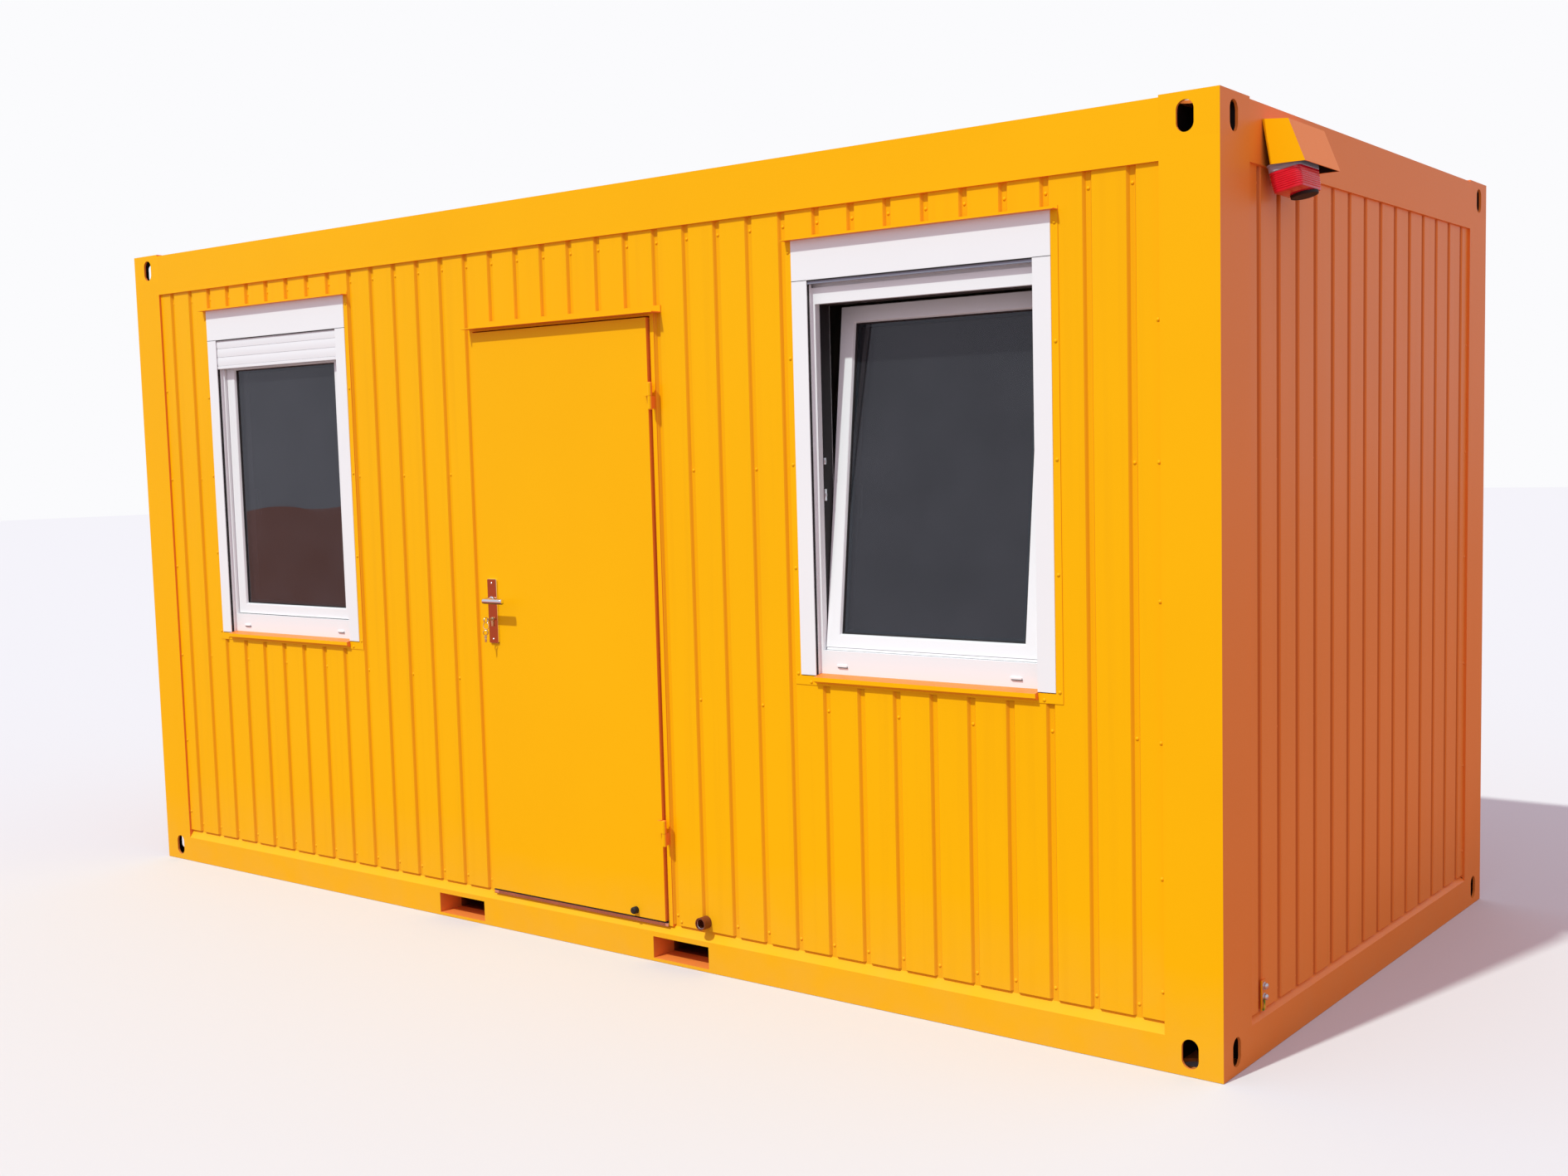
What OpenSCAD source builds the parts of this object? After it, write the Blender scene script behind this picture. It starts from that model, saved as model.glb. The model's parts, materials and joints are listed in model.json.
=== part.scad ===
// Site cabin built on a container frame: welded corner posts and rails, profiled
// sheet walls, two tilting windows with roller shutters and one outward door.
// Millimetres, +Z up. The origin is the middle of the base frame at ground level,
// +X runs to the end that carries the alarm lamp and the front faces -Y.

/* [Overall] */
// Length over the corner posts
cab_l = 4990; // [4600:10:6100]
// Width over the corner posts
cab_w = 2225; // [1900:5:2700]
// Height over the top corner castings
cab_h = 2591; // [2540:1:3000]

/* [Frame] */
// Corner post width seen from the long side
post_l = 172; // [140:1:200]
// Corner post width seen from the end
post_w = 182; // [140:1:220]
// Depth of the posts, rails and walls from the outside to the room
frame_t = 100; // [90:1:130]
// Height of a corner casting
casting_h = 118; // [110:1:130]
// How far the top castings stand above the top rails
casting_proud = 6; // [0:1:12]
// Wall of a corner casting
casting_t = 9; // [6:1:12]
// Width of the slots in the corner castings
slot_w = 50; // [40:1:58]
// Height of the slots in the corner castings
slot_h = 82; // [70:1:90]
// Slot centre from the corner along the long side
slot_l = 97; // [90:1:110]
// Slot centre from the corner across the end
slot_e = 84; // [80:1:110]
// Slot centre from the top or the ground
slot_z = 62; // [56:1:66]
// Width of the holes in the top and bottom of the castings
lock_w = 64; // [50:1:68]
// Length of the holes in the top and bottom of the castings
lock_l = 124; // [90:1:126]
// Depth of the top rails' face
top_rail_h = 167; // [150:1:220]
// Height of the long base rails
base_rail_h = 130; // [122:1:160]
// Height of the end base rails
base_end_h = 120; // [119:1:150]
// Height of the sloping shoulder on the long base rails
shoulder_h = 28; // [10:1:40]
// Height of the sloping shoulder on the end base rails
shoulder_end_h = 14; // [8:1:40]

/* [Fork pockets] */
// Distance of each pocket's middle from mid-length
fork_x = 549; // [450:1:900]
// Pocket width
fork_w = 248; // [200:1:360]
// Pocket height
fork_h = 74; // [60:1:90]
// Underside of the pocket opening above the ground
fork_z = 11; // [8:1:25]
// Wall of the pocket tubes
fork_t = 4; // [3:0.5:6]

/* [Floor and roof] */
// Thickness of the cross-members under the floor
joist_t = 50; // [30:1:80]
// Clear space between a fork pocket tube and the cross-member beside it
joist_gap = 55; // [20:1:120]
// Cross-members between the outer pocket side and each end
joist_outer = 4; // [2:1:6]
// Floor surface above the ground
floor_z = 145; // [140:1:180]
// Floor board thickness
deck_t = 22; // [18:1:30]
// Ceiling board thickness
ceiling_t = 16; // [10:1:30]
// Roof sheet below the top of the top rails
roof_drop = 22; // [15:1:60]
// Roof sheet thickness
roof_t = 4; // [3:0.5:6]
// Number of standing seams on the roof
seam_n = 8; // [4:1:12]
// Height of the standing seams
seam_h = 14; // [6:1:20]

/* [Walls] */
// Flats of the wall sheet behind the faces of the frame
wall_recess = 8; // [4:1:12]
// Distance between the grooves of the wall sheet
groove_pitch = 131.7; // [100:0.1:160]
// Grooves on a long side
groove_long_n = 35; // [25:1:40]
// Grooves on an end
groove_end_n = 14; // [8:1:18]
// Width of a groove at its mouth
groove_w = 29; // [15:1:40]
// Width of a groove at its bottom
groove_in = 15; // [8:1:20]
// Depth of a groove
groove_d = 9; // [4:1:14]
// Gap between the flats' ends and the pieces above and below them
flat_end_gap = 7; // [3:1:12]

/* [Windows] */
// Distance of each window's middle from mid-length
win_x = 1543; // [1500:1:2000]
// Width over the shutter guides
win_w = 904; // [700:4:1000]
// Underside of the window element above the ground
win_z = 1010; // [900:1:1200]
// Height of the window element with its shutter box
win_h = 1323; // [1000:1:1350]
// Height of the shutter box
box_h = 121; // [110:1:160]
// Open slot for the curtain between the box and the window frame
box_gap = 22; // [10:1:30]
// Width of a shutter guide
guide_w = 58; // [40:1:65]
// How far the shutter guides stand out from the wall
guide_proud = 4; // [2:1:12]
// Depth of the window frame's face behind the wall's face
frame_set = 21; // [20:1:30]
// Window frame beside the guide that shows from outside
frame_side = 11.5; // [8:0.5:35]
// Height of the window frame's bottom member
frame_foot = 79; // [60:1:100]
// Height of the window frame's top member below the box
frame_head = 49; // [40:1:80]
// Width of the sash's side members
sash_side = 47; // [30:1:60]
// Height of the sash's bottom member
sash_foot = 37; // [30:1:60]
// Height of the sash's top member
sash_head = 45; // [30:1:60]
// Sash face behind the window frame's face
sash_set = 11; // [8:1:20]
// Sash depth
sash_t = 80; // [75:1:90]
// Overlap of the sash's inner lip on the window frame
lip_w = 12; // [8:1:20]
// Gap between the sash and the window frame
sash_gap = 3; // [2:0.5:6]
// Inward tilt of the right sash, in degrees
tilt_deg = 6.5; // [0:0.1:12]
// Thickness of the double glazing
glass_t = 24; // [20:1:36]
// Glass face behind the sash's face
glass_set = 12; // [8:1:20]
// Thickness of the shutter curtain
curtain_t = 8; // [6:1:10]
// Height of one shutter slat
slat_h = 35; // [30:1:55]
// Slats showing on the left window
slats_left = 3; // [0:1:20]
// Height of the curtain's end rail
end_rail_h = 12; // [8:1:30]
// Width of the painted flashing beside a window
flash_w = 23; // [15:1:40]
// Thickness of the painted flashing
flash_t = 2; // [1.5:0.5:4]
// Projection of the drip cap over a window
win_cap_d = 28; // [15:1:45]
// Height of the flashing under a window
sill_h = 28; // [20:1:40]
// Projection of the sill
sill_d = 18; // [10:1:30]

/* [Door] */
// Middle of the door leaf from mid-length
door_x = 65; // [-100:1:300]
// Door leaf width
leaf_w = 845; // [700:5:900]
// Door leaf height
leaf_h = 2000; // [1900:5:2050]
// Door leaf thickness
leaf_t = 50; // [40:1:60]
// Door leaf face in front of the wall's face
leaf_proud = 12; // [6:1:20]
// Gap between the leaf and the frame at its sides
side_gap = 8; // [5:0.5:10]
// Gap between the leaf and the frame or threshold above and below
end_gap = 5; // [5:0.5:8]
// Width of the door frame's face
jamb_w = 17; // [12:1:40]
// Height of the door frame's head strip
head_w = 7; // [5:1:30]
// Overlap of the door stop behind the leaf
stop_w = 12; // [8:1:20]
// Gap between the leaf's back and the door stop
stop_gap = 6; // [5:0.5:8]
// Hinge axis beside the leaf's edge
hinge_side = 21.5; // [18:0.5:40]
// Hinge axis in front of the leaf's face
hinge_front = 14; // [12:0.5:20]
// Hinge knuckle radius
knuckle_r = 8; // [7.5:0.5:11]
// Height of a whole hinge
hinge_h = 83; // [60:1:120]
// Middle of the lower hinge above the ground
hinge_low_z = 449; // [350:1:600]
// Middle of the upper hinge above the ground
hinge_high_z = 1891; // [1600:1:1950]
// Hinge pin radius
pin_r = 4.5; // [4:0.5:5]
// Projection of the drip cap over the door
door_cap_d = 45; // [30:1:50]
// Drip cap past the door frame on the hinge side
door_cap_over = 33; // [10:1:60]

/* [Door fittings] */
// Lever axis above the ground
lever_z = 1200; // [950:1:1300]
// Lever axis from the leaf's lock edge
lever_in = 57; // [40:1:90]
// Length of the lever's grip from its axis
lever_l = 96; // [90:1:130]
// Lever grip radius
lever_r = 8; // [6:0.5:10]
// Lever grip's middle in front of the leaf
lever_out = 54; // [40:1:60]
// Handle plate width
plate_w = 45; // [30:1:60]
// Handle plate height
plate_h = 228; // [200:1:280]
// Handle plate thickness
plate_t = 8; // [3:0.5:10]
// Lever axis below the handle plate's top
plate_top = 74.5; // [50:0.5:100]
// Lock cylinder's middle below the lever axis
lock_drop = 69; // [60:1:100]
// Catch middle from the hinge axis
catch_r = 154; // [120:1:250]
// Catch middle above the ground
catch_z = 167; // [165:1:300]
// Peg radius
peg_r = 12; // [8:0.5:14]
// Peg length
peg_l = 20; // [12:1:25]
// Cup inner radius
cup_r = 17.5; // [14:0.5:22]
// Cup wall
cup_t = 3.5; // [2:0.5:5]
// Cup length from the wall
cup_l = 34; // [25:1:36]

/* [Alarm lamp and earthing] */
// Hood middle from the front of the end
hood_y = 385.5; // [340:0.5:700]
// Hood width
hood_w = 249; // [180:1:300]
// Hood top above the ground, below the cabin's top
hood_drop = 46; // [30:1:80]
// Hood height
hood_h = 121; // [90:1:150]
// Hood depth at its top
hood_d = 73; // [60:1:100]
// Fall of the hood's top towards its outer edge
hood_slope = 7.5; // [2:0.5:20]
// How far the hood's lower edge leans out past its top edge
hood_lean = 46; // [10:1:60]
// Hood sheet thickness
hood_t = 2.5; // [2:0.5:4]
// Tilt of the lamp under the hood, in degrees
lamp_tilt = 15; // [0:1:30]
// Lens radius at its base
lens_r = 46; // [35:1:55]
// Lens height
lens_h = 62; // [40:1:70]
// Earthing lug from the front of the end
lug_y = 272; // [200:1:400]
// Earthing lug height
lug_h = 86; // [60:1:120]

/* [Hidden] */
$fn = 48;

half_l = cab_l / 2;
half_w = cab_w / 2;
wall_y = -half_w + wall_recess;
room_y = -half_w + frame_t;
wall_t = frame_t - wall_recess;
rail_top = cab_h - casting_proud;
rail_low = cab_h - top_rail_h;
seat = 0.3;
eps = 1;

door_l = door_x - leaf_w / 2;
door_r = door_x + leaf_w / 2;
leaf_top = floor_z + leaf_h;
frame_l = door_l - side_gap - jamb_w;
frame_r = door_r + side_gap + jamb_w;
frame_top = leaf_top + end_gap + head_w;
leaf_y = wall_y - leaf_proud;
stop_y = leaf_y + leaf_t + stop_gap;
hinge_x = door_r + hinge_side;
hinge_y = leaf_y - hinge_front;
knuckle_gap = 1;
knuckle_h = (hinge_h - knuckle_gap) / 2;
pin_play = 0.08;

lever_x = door_l + lever_in;
lever_hole = 9;
neck_r = 8;
spindle_r = 5;

groove_first = -(groove_long_n - 1) / 2 * groove_pitch;
groove_end_first = -(groove_end_n - 1) / 2 * groove_pitch;

orange = [0.98, 0.6, 0.06];
white_pvc = [0.95, 0.95, 0.95];
steel = [0.75, 0.76, 0.78];

// ---- helpers ----

// A box from its low corner to its high corner
module span(lo, hi) {
    translate(lo) cube(hi - lo);
}

// Puts a copy at each of the four corners, mirrored so that every copy's
// own corner is outermost
module at_corners() {
    for (mx = [0, 1], my = [0, 1])
        mirror([mx, 0, 0]) mirror([0, my, 0]) translate([-half_l, -half_w, 0]) children();
}

// A slot with round ends, w wide and h long along Y, centred, extruded through t
module slot(w, h, t) {
    linear_extrude(t) {
        square([w, h - w], center = true);
        for (s = [-1, 1]) translate([0, s * (h - w) / 2]) circle(d = w);
    }
}

// A rectangular ring in the X-Z plane: outer corner lo to hi, members of the
// widths side, foot and head, from depth y0 to y1
module ring(lo, hi, side, foot, head, y0, y1) {
    difference() {
        span([lo[0], y0, lo[1]], [hi[0], y1, hi[1]]);
        span([lo[0] + side, y0 - eps, lo[1] + foot], [hi[0] - side, y1 + eps, hi[1] - head]);
    }
}

// A section drawn as [y, z], extruded along X from x0 to x1
module along_x(x0, x1) {
    translate([x0, 0, 0]) rotate([90, 0, 90]) linear_extrude(x1 - x0) children();
}

// A section drawn as [x, z], extruded along Y from y0 to y1
module along_y(y0, y1) {
    translate([0, y1, 0]) rotate([90, 0, 0]) linear_extrude(y1 - y0) children();
}

// The same piece on both long sides or on both ends
module both_y() { for (m = [0, 1]) mirror([0, m, 0]) children(); }
module both_x() { for (m = [0, 1]) mirror([m, 0, 0]) children(); }

// ---- frame ----

// One corner casting in its own corner, with a slot in each outer side and a
// long hole in its outer end. flip turns it over for the top corners.
module casting(flip) {
    lock_y = flip ? casting_h - casting_t - eps : -eps;
    slot_at = flip ? casting_h - slot_z : slot_z;
    difference() {
        cube([post_l, post_w, casting_h]);
        translate([casting_t, casting_t, casting_t])
            cube([post_l - 2 * casting_t, post_w - 2 * casting_t, casting_h - 2 * casting_t]);
        translate([slot_l, casting_t + eps, slot_at]) rotate([90, 0, 0])
            slot(slot_w, slot_h, casting_t + 2 * eps);
        translate([-eps, slot_e, slot_at]) rotate([90, 0, 90])
            slot(slot_w, slot_h, casting_t + 2 * eps);
        translate([slot_l, slot_e, lock_y]) rotate([0, 0, 90])
            slot(lock_w, lock_l, casting_t + 2 * eps);
    }
}

module corner_castings_bottom() {
    color(orange) at_corners() casting(false);
}

module corner_castings_top() {
    color(orange) at_corners() translate([0, 0, cab_h - casting_h]) casting(true);
}

// The posts are angles, so the room keeps square corners
module corner_posts() {
    color(orange) at_corners() translate([0, 0, casting_h])
        linear_extrude(cab_h - 2 * casting_h)
            polygon([[0, 0], [post_l, 0], [post_l, frame_t], [frame_t, frame_t],
                [frame_t, post_w], [0, post_w]]);
}

// Section of a base rail with its outer face at 0: the shoulder slopes back to
// the bottom of the wall's grooves
module base_section(h, shoulder) {
    polygon([[0, 0], [frame_t, 0], [frame_t, h], [wall_recess + groove_d, h], [0, h - shoulder]]);
}

module base_rails_long() {
    color(orange) both_y() difference() {
        translate([0, -half_w, 0]) along_x(post_l - half_l, half_l - post_l)
            base_section(base_rail_h, shoulder_h);
        for (s = [-1, 1])
            span([s * fork_x - fork_w / 2, -half_w - eps, fork_z],
                [s * fork_x + fork_w / 2, room_y + eps, fork_z + fork_h]);
    }
}

module base_rails_ends() {
    color(orange) both_x() translate([-half_l, 0, 0]) along_y(post_w - half_w, half_w - post_w)
        base_section(base_end_h, shoulder_end_h);
}

// Tubes that carry the fork tines from one long rail to the other
module fork_pockets() {
    color(orange) for (s = [-1, 1]) translate([s * fork_x, 0, 0]) difference() {
        span([-fork_w / 2 - fork_t, room_y, fork_z - fork_t],
            [fork_w / 2 + fork_t, -room_y, fork_z + fork_h + fork_t]);
        span([-fork_w / 2, room_y - eps, fork_z], [fork_w / 2, -room_y + eps, fork_z + fork_h]);
    }
}

// Cross-members on one half, from the middle outwards
joist_inner = fork_x - fork_w / 2 - fork_t - joist_gap - joist_t / 2;
joist_first = fork_x + fork_w / 2 + fork_t + joist_gap + joist_t / 2;
joist_step = (half_l - frame_t - joist_first) / (joist_outer + 1);
joist_half = concat([joist_inner], [for (i = [0:joist_outer]) joist_first + i * joist_step]);

module floor_joists() {
    color(steel) for (x = concat([0], joist_half, -joist_half))
        span([x - joist_t / 2, room_y, 0], [x + joist_t / 2, -room_y, floor_z - deck_t]);
}

module floor_deck() {
    color([0.55, 0.5, 0.45])
        span([frame_t - half_l, room_y, floor_z - deck_t], [half_l - frame_t, -room_y, floor_z]);
}

module top_rails_long() {
    color(orange) both_y()
        span([post_l - half_l, -half_w, rail_low], [half_l - post_l, room_y, rail_top]);
}

module top_rails_ends() {
    color(orange) both_x()
        span([-half_l, post_w - half_w, rail_low], [frame_t - half_l, half_w - post_w, rail_top]);
}

// A flat sheet below the top of the rails, notched round the castings, with
// standing seams across it
module roof_sheet() {
    z = rail_top - roof_drop;
    seam_t = 10;
    seam_pitch = (cab_l - 2 * frame_t) / (seam_n + 1);
    color(steel) difference() {
        union() {
            span([frame_t - half_l, room_y, z - roof_t], [half_l - frame_t, -room_y, z]);
            for (i = [1:seam_n]) {
                x = frame_t - half_l + i * seam_pitch;
                span([x - seam_t / 2, room_y, z - roof_t], [x + seam_t / 2, -room_y, z + seam_h]);
            }
        }
        at_corners() span([-eps, -eps, z - roof_t - eps], [post_l, post_w, z + seam_h + eps]);
    }
}

module ceiling() {
    color(white_pvc)
        span([frame_t - half_l, room_y, rail_low], [half_l - frame_t, -room_y, rail_low + ceiling_t]);
}

// ---- walls ----

// One groove of the wall sheet at x = 0, cut into an outer face at y = 0
module groove() {
    polygon([[-groove_w / 2, -eps], [groove_w / 2, -eps], [groove_w / 2, 0], [groove_in / 2, groove_d],
        [-groove_in / 2, groove_d], [-groove_w / 2, 0]]);
}

// Plan of a wall from x0 to x1 with its flats at y = 0 and grooves at each x in at
module sheet_plan(x0, x1, at) {
    difference() {
        translate([x0, 0]) square([x1 - x0, wall_t]);
        for (x = at) translate([x, 0]) groove();
    }
}

// A wall standing from z0 to z1; its flats stop short of the rails above and below
module sheet_wall(x0, x1, z0, z1, at) {
    difference() {
        translate([0, 0, z0]) linear_extrude(z1 - z0) sheet_plan(x0, x1, at);
        span([x0 - eps, -eps, z0 - eps], [x1 + eps, groove_d, z0 + flat_end_gap]);
    }
}

function grooves_between(x0, x1, first, n) =
    [for (i = [0:n - 1]) let (x = first + i * groove_pitch)
        if (x + groove_w / 2 > x0 && x - groove_w / 2 < x1) x];

module front_wall(x0, x1, z0) {
    translate([0, wall_y, 0])
        sheet_wall(x0, x1, z0, rail_low, grooves_between(x0, x1, groove_first, groove_long_n));
}

// Opening for the window element whose middle is at x
module window_cut(x) {
    span([x - win_w / 2, -half_w - eps, win_z], [x + win_w / 2, room_y + eps, win_z + win_h]);
}

module front_wall_left() {
    color(orange) difference() {
        front_wall(post_l - half_l, frame_l, base_rail_h);
        window_cut(-win_x);
    }
}

module front_wall_right() {
    color(orange) difference() {
        front_wall(frame_r, half_l - post_l, base_rail_h);
        window_cut(win_x);
    }
}

module front_wall_over_door() {
    color(orange) front_wall(frame_l, frame_r, frame_top);
}

module back_wall() {
    color(orange) rotate([0, 0, 180]) front_wall(post_l - half_l, half_l - post_l, base_rail_h);
}

module end_wall() {
    edge = half_w - post_w;
    translate([-half_l + wall_recess, 0, 0]) rotate([0, 0, 90]) mirror([0, 1, 0])
        sheet_wall(-edge, edge, base_end_h, rail_low,
            grooves_between(-edge, edge, groove_end_first, groove_end_n));
}

module left_end_wall() {
    color(orange) end_wall();
}

module right_end_wall() {
    color(orange) mirror([1, 0, 0]) end_wall();
}

// ---- windows, each drawn about its own middle and then put at -win_x or win_x ----

win_top = win_z + win_h;
box_z = win_top - box_h;
guide_y = wall_y - guide_proud;
wframe_y = wall_y + frame_set;
wframe_in = win_w / 2 - guide_w - frame_side;
wframe_foot = win_z + frame_foot;
wframe_top = box_z - box_gap;
wframe_head = wframe_top - frame_head;
sash_y = wframe_y + sash_set;
sash_in = wframe_in - sash_gap;
lip_y = room_y + seat;

// Painted flashing: side strips and head strip flat on the wall, a drip cap
// over the box and a sloping sill between the guides
module window_flashing() {
    out = win_w / 2 + flash_w;
    head = win_top + flash_w / 2;
    sill_x = win_w / 2 - guide_w;
    face = wall_y - flash_t;
    nose = wall_y - sill_d;
    color(orange) union() {
        ring([-out, win_z - sill_h], [out, head], flash_w, sill_h, head - win_top, face, wall_y);
        span([-out, wall_y - win_cap_d, win_top], [out, wall_y, win_top + flash_t]);
        along_x(-sill_x, sill_x) polygon([[wframe_y, win_z], [wframe_y, win_z + 7],
            [nose, win_z - 1], [nose, win_z - 14], [face, win_z - 22], [face, win_z]]);
    }
}

guide_lip = 3;
curtain_play = 1.5;

// Roller shutter element: the box, the closed back of the curtain's slot below
// it, and a guide under each of its ends with its foot just off the sill
module window_shutter() {
    slot_d = 15;
    slot_y = guide_y + guide_lip;
    slot_back = wframe_y + 13;
    foot = 3;
    color(white_pvc) {
        span([-win_w / 2, guide_y, box_z], [win_w / 2, room_y, win_top]);
        span([-win_w / 2, slot_back, wframe_top], [win_w / 2, room_y, box_z]);
        both_x() difference() {
            span([-win_w / 2, guide_y, win_z + foot], [guide_w - win_w / 2, wframe_y, box_z]);
            span([guide_w - slot_d - win_w / 2, slot_y, win_z],
                [guide_w - win_w / 2 + eps, slot_y + curtain_t + 2 * curtain_play, box_z]);
        }
    }
}

// Curtain hanging below the box: n slats with a hooked joint between them, and
// the end rail
module window_curtain(n) {
    reach = win_w / 2 - guide_w + 12;
    y0 = guide_y + guide_lip + curtain_play;
    low = box_z - seat - n * slat_h - end_rail_h;
    neck = 2;
    color(white_pvc) union() {
        span([-reach, y0, low], [reach, y0 + curtain_t, low + end_rail_h]);
        if (n > 0) for (i = [0:n - 1]) {
            z = low + end_rail_h + i * slat_h;
            span([-reach, y0 + neck, z], [reach, y0 + curtain_t, z + neck]);
            span([-reach, y0, z + neck], [reach, y0 + curtain_t, z + slat_h]);
        }
    }
}

module window_frame() {
    color(white_pvc) ring([-win_w / 2, win_z], [win_w / 2, wframe_top], guide_w + frame_side,
        frame_foot, frame_head, wframe_y, room_y);
}

// The sash swings in at the top about the lower edge of its inner lip
module tilted(angle) {
    pivot = [0, lip_y, wframe_foot - lip_w];
    translate(pivot) rotate([-angle, 0, 0]) translate(-pivot) children();
}

module window_sash(angle) {
    lo = [-sash_in, wframe_foot + sash_gap];
    hi = [sash_in, wframe_head - sash_gap];
    lip = lip_w + sash_gap;
    color(white_pvc) tilted(angle) union() {
        ring(lo, hi, sash_side, sash_foot, sash_head, sash_y, sash_y + sash_t);
        ring(lo - [lip, lip], hi + [lip, lip], sash_side + lip, sash_foot + lip, sash_head + lip,
            lip_y, sash_y + sash_t);
    }
}

module window_glass(angle) {
    in = sash_in - sash_side - seat;
    y = sash_y + glass_set;
    color([0.25, 0.3, 0.35]) tilted(angle)
        span([-in, y, wframe_foot + sash_gap + sash_foot + seat],
            [in, y + glass_t, wframe_head - sash_gap - sash_head - seat]);
}

module at_left() { translate([-win_x, 0, 0]) children(); }
module at_right() { translate([win_x, 0, 0]) children(); }

// ---- door ----

// Frame round the doorway: a face strip beside the leaf and a stop behind it
module door_frame() {
    face = wall_y - 2;
    color(orange) difference() {
        span([frame_l, face, base_rail_h], [frame_r, room_y, frame_top]);
        span([frame_l + jamb_w, face - eps, base_rail_h - eps],
            [frame_r - jamb_w, stop_y, leaf_top + end_gap]);
        span([door_l + stop_w, face - eps, base_rail_h - eps],
            [door_r - stop_w, room_y + eps, leaf_top - stop_w]);
    }
}

// Stainless threshold on the base rail, with a nose over the rail's shoulder
module door_threshold() {
    top = floor_z - end_gap;
    nose = 13;
    color(steel) difference() {
        union() {
            span([frame_l + jamb_w, -half_w + 2, top - nose], [frame_r - jamb_w, stop_y, top]);
            span([door_l + stop_w, stop_y - eps, base_rail_h], [door_r - stop_w, room_y, top]);
        }
        translate([0, -half_w, 0]) along_x(frame_l, frame_r) base_section(base_rail_h, shoulder_h);
    }
}

module door_cap() {
    sheet = 3;
    up = 24;
    color(orange) union() {
        span([frame_l, wall_y - door_cap_d, frame_top], [frame_r + door_cap_over, wall_y, frame_top + sheet]);
        span([frame_l, wall_y - sheet, frame_top], [frame_r + door_cap_over, wall_y, frame_top + up]);
    }
}

hinge_mid = [hinge_low_z, hinge_high_z];

// Lower knuckle with the pin, on a plate that stands on the door frame's face
module door_hinges_fixed() {
    color(orange) for (z = hinge_mid) translate([hinge_x, hinge_y, z - hinge_h / 2]) {
        cylinder(h = knuckle_h, r = knuckle_r);
        cylinder(h = hinge_h - 6, r = pin_r);
        span([-6, 0, 0], [0, wall_y - 2 - hinge_y, knuckle_h]);
    }
}

// Upper knuckle, bored for the pin, on a strap that turns back to the leaf's face
module door_hinges_moving() {
    strap = 5;
    strap_foot = 8;
    foot_x = door_r - hinge_x - strap_foot;
    color(orange) for (z = hinge_mid) translate([hinge_x, hinge_y, z + hinge_h / 2 - knuckle_h])
        difference() {
            union() {
                cylinder(h = knuckle_h, r = knuckle_r);
                span([foot_x, -strap / 2, 0], [0, strap / 2, knuckle_h]);
                span([foot_x, -strap / 2, 0], [foot_x + strap_foot, hinge_front, knuckle_h]);
            }
            translate([0, 0, -eps]) cylinder(h = knuckle_h - 5, r = pin_r + pin_play);
        }
}

module door_leaf() {
    color(orange) difference() {
        span([door_l, leaf_y, floor_z], [door_r, leaf_y + leaf_t, leaf_top]);
        translate([lever_x, leaf_y - eps, lever_z]) rotate([-90, 0, 0])
            cylinder(h = leaf_t + 2 * eps, r = lever_hole);
    }
}

// ---- door fittings ----

// The outer plate and its twin inside, both clear of the lever's neck
module handle_plates() {
    color(steel) for (y = [leaf_y - plate_t, leaf_y + leaf_t]) difference() {
        span([lever_x - plate_w / 2, y, lever_z + plate_top - plate_h],
            [lever_x + plate_w / 2, y + plate_t, lever_z + plate_top]);
        translate([lever_x, y - eps, lever_z]) rotate([-90, 0, 0])
            cylinder(h = plate_t + 2 * eps, r = neck_r + seat);
    }
}

// One handle: a neck from the spindle and a grip towards the hinges
module grip(y, s) {
    translate([0, y, 0]) rotate([s * 90, 0, 0]) cylinder(h = lever_out, r = neck_r);
    translate([-neck_r, y - s * lever_out, 0]) rotate([0, 90, 0])
        cylinder(h = lever_l + neck_r, r = lever_r);
}

module door_lever() {
    color(steel) translate([lever_x, 0, lever_z]) union() {
        grip(leaf_y, 1);
        grip(leaf_y + leaf_t, -1);
        translate([0, leaf_y - eps, 0]) rotate([-90, 0, 0])
            cylinder(h = leaf_t + 2 * eps, r = spindle_r);
    }
}

// Lock cylinder with the key in it, and a second key hanging from the ring
module lock_and_key() {
    cyl_r = 8.5;
    bow_r = 12;
    bow_out = 32;
    key_t = 2.5;
    ring_r = 12;
    wire = 1.2;
    z = lever_z - lock_drop;
    face = leaf_y - plate_t;
    color(steel) translate([lever_x, face, z]) {
        rotate([90, 0, 0]) cylinder(h = 5, r = cyl_r);
        span([-key_t / 2, -bow_out, -4], [key_t / 2, 0, 4]);
        translate([-key_t / 2, -bow_out, 0]) rotate([0, 90, 0]) cylinder(h = key_t, r = bow_r);
        translate([0, -bow_out, -bow_r - ring_r + 3]) rotate([90, 0, 0])
            rotate_extrude() translate([ring_r, 0]) circle(r = wire);
        translate([-bow_r, -bow_out - key_t / 2, -2 * ring_r - bow_r - 20])
            cube([2 * bow_r, key_t, 24]);
        translate([-4, -bow_out - key_t / 2, -2 * ring_r - bow_r - 46]) cube([8, key_t, 27]);
    }
}

// Rubber peg on the leaf that the cup holds when the door is folded back
module door_peg() {
    color([0.08, 0.08, 0.08]) translate([hinge_x - catch_r, leaf_y, catch_z]) rotate([90, 0, 0]) {
        cylinder(h = peg_l - 4, r = peg_r);
        translate([0, 0, peg_l - 4]) cylinder(h = 4, r1 = peg_r, r2 = peg_r - 3);
    }
}

module door_catch() {
    back = 3;
    color([0.45, 0.32, 0.28]) translate([hinge_x + catch_r, wall_y, catch_z]) rotate([90, 0, 0])
        difference() {
            cylinder(h = cup_l, r = cup_r + cup_t);
            translate([0, 0, back]) cylinder(h = cup_l, r = cup_r);
        }
}

// ---- alarm lamp and earthing ----

hood_top = cab_h - hood_drop;
hood_mid = hood_y - half_w;
hood_back = 22;

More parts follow.
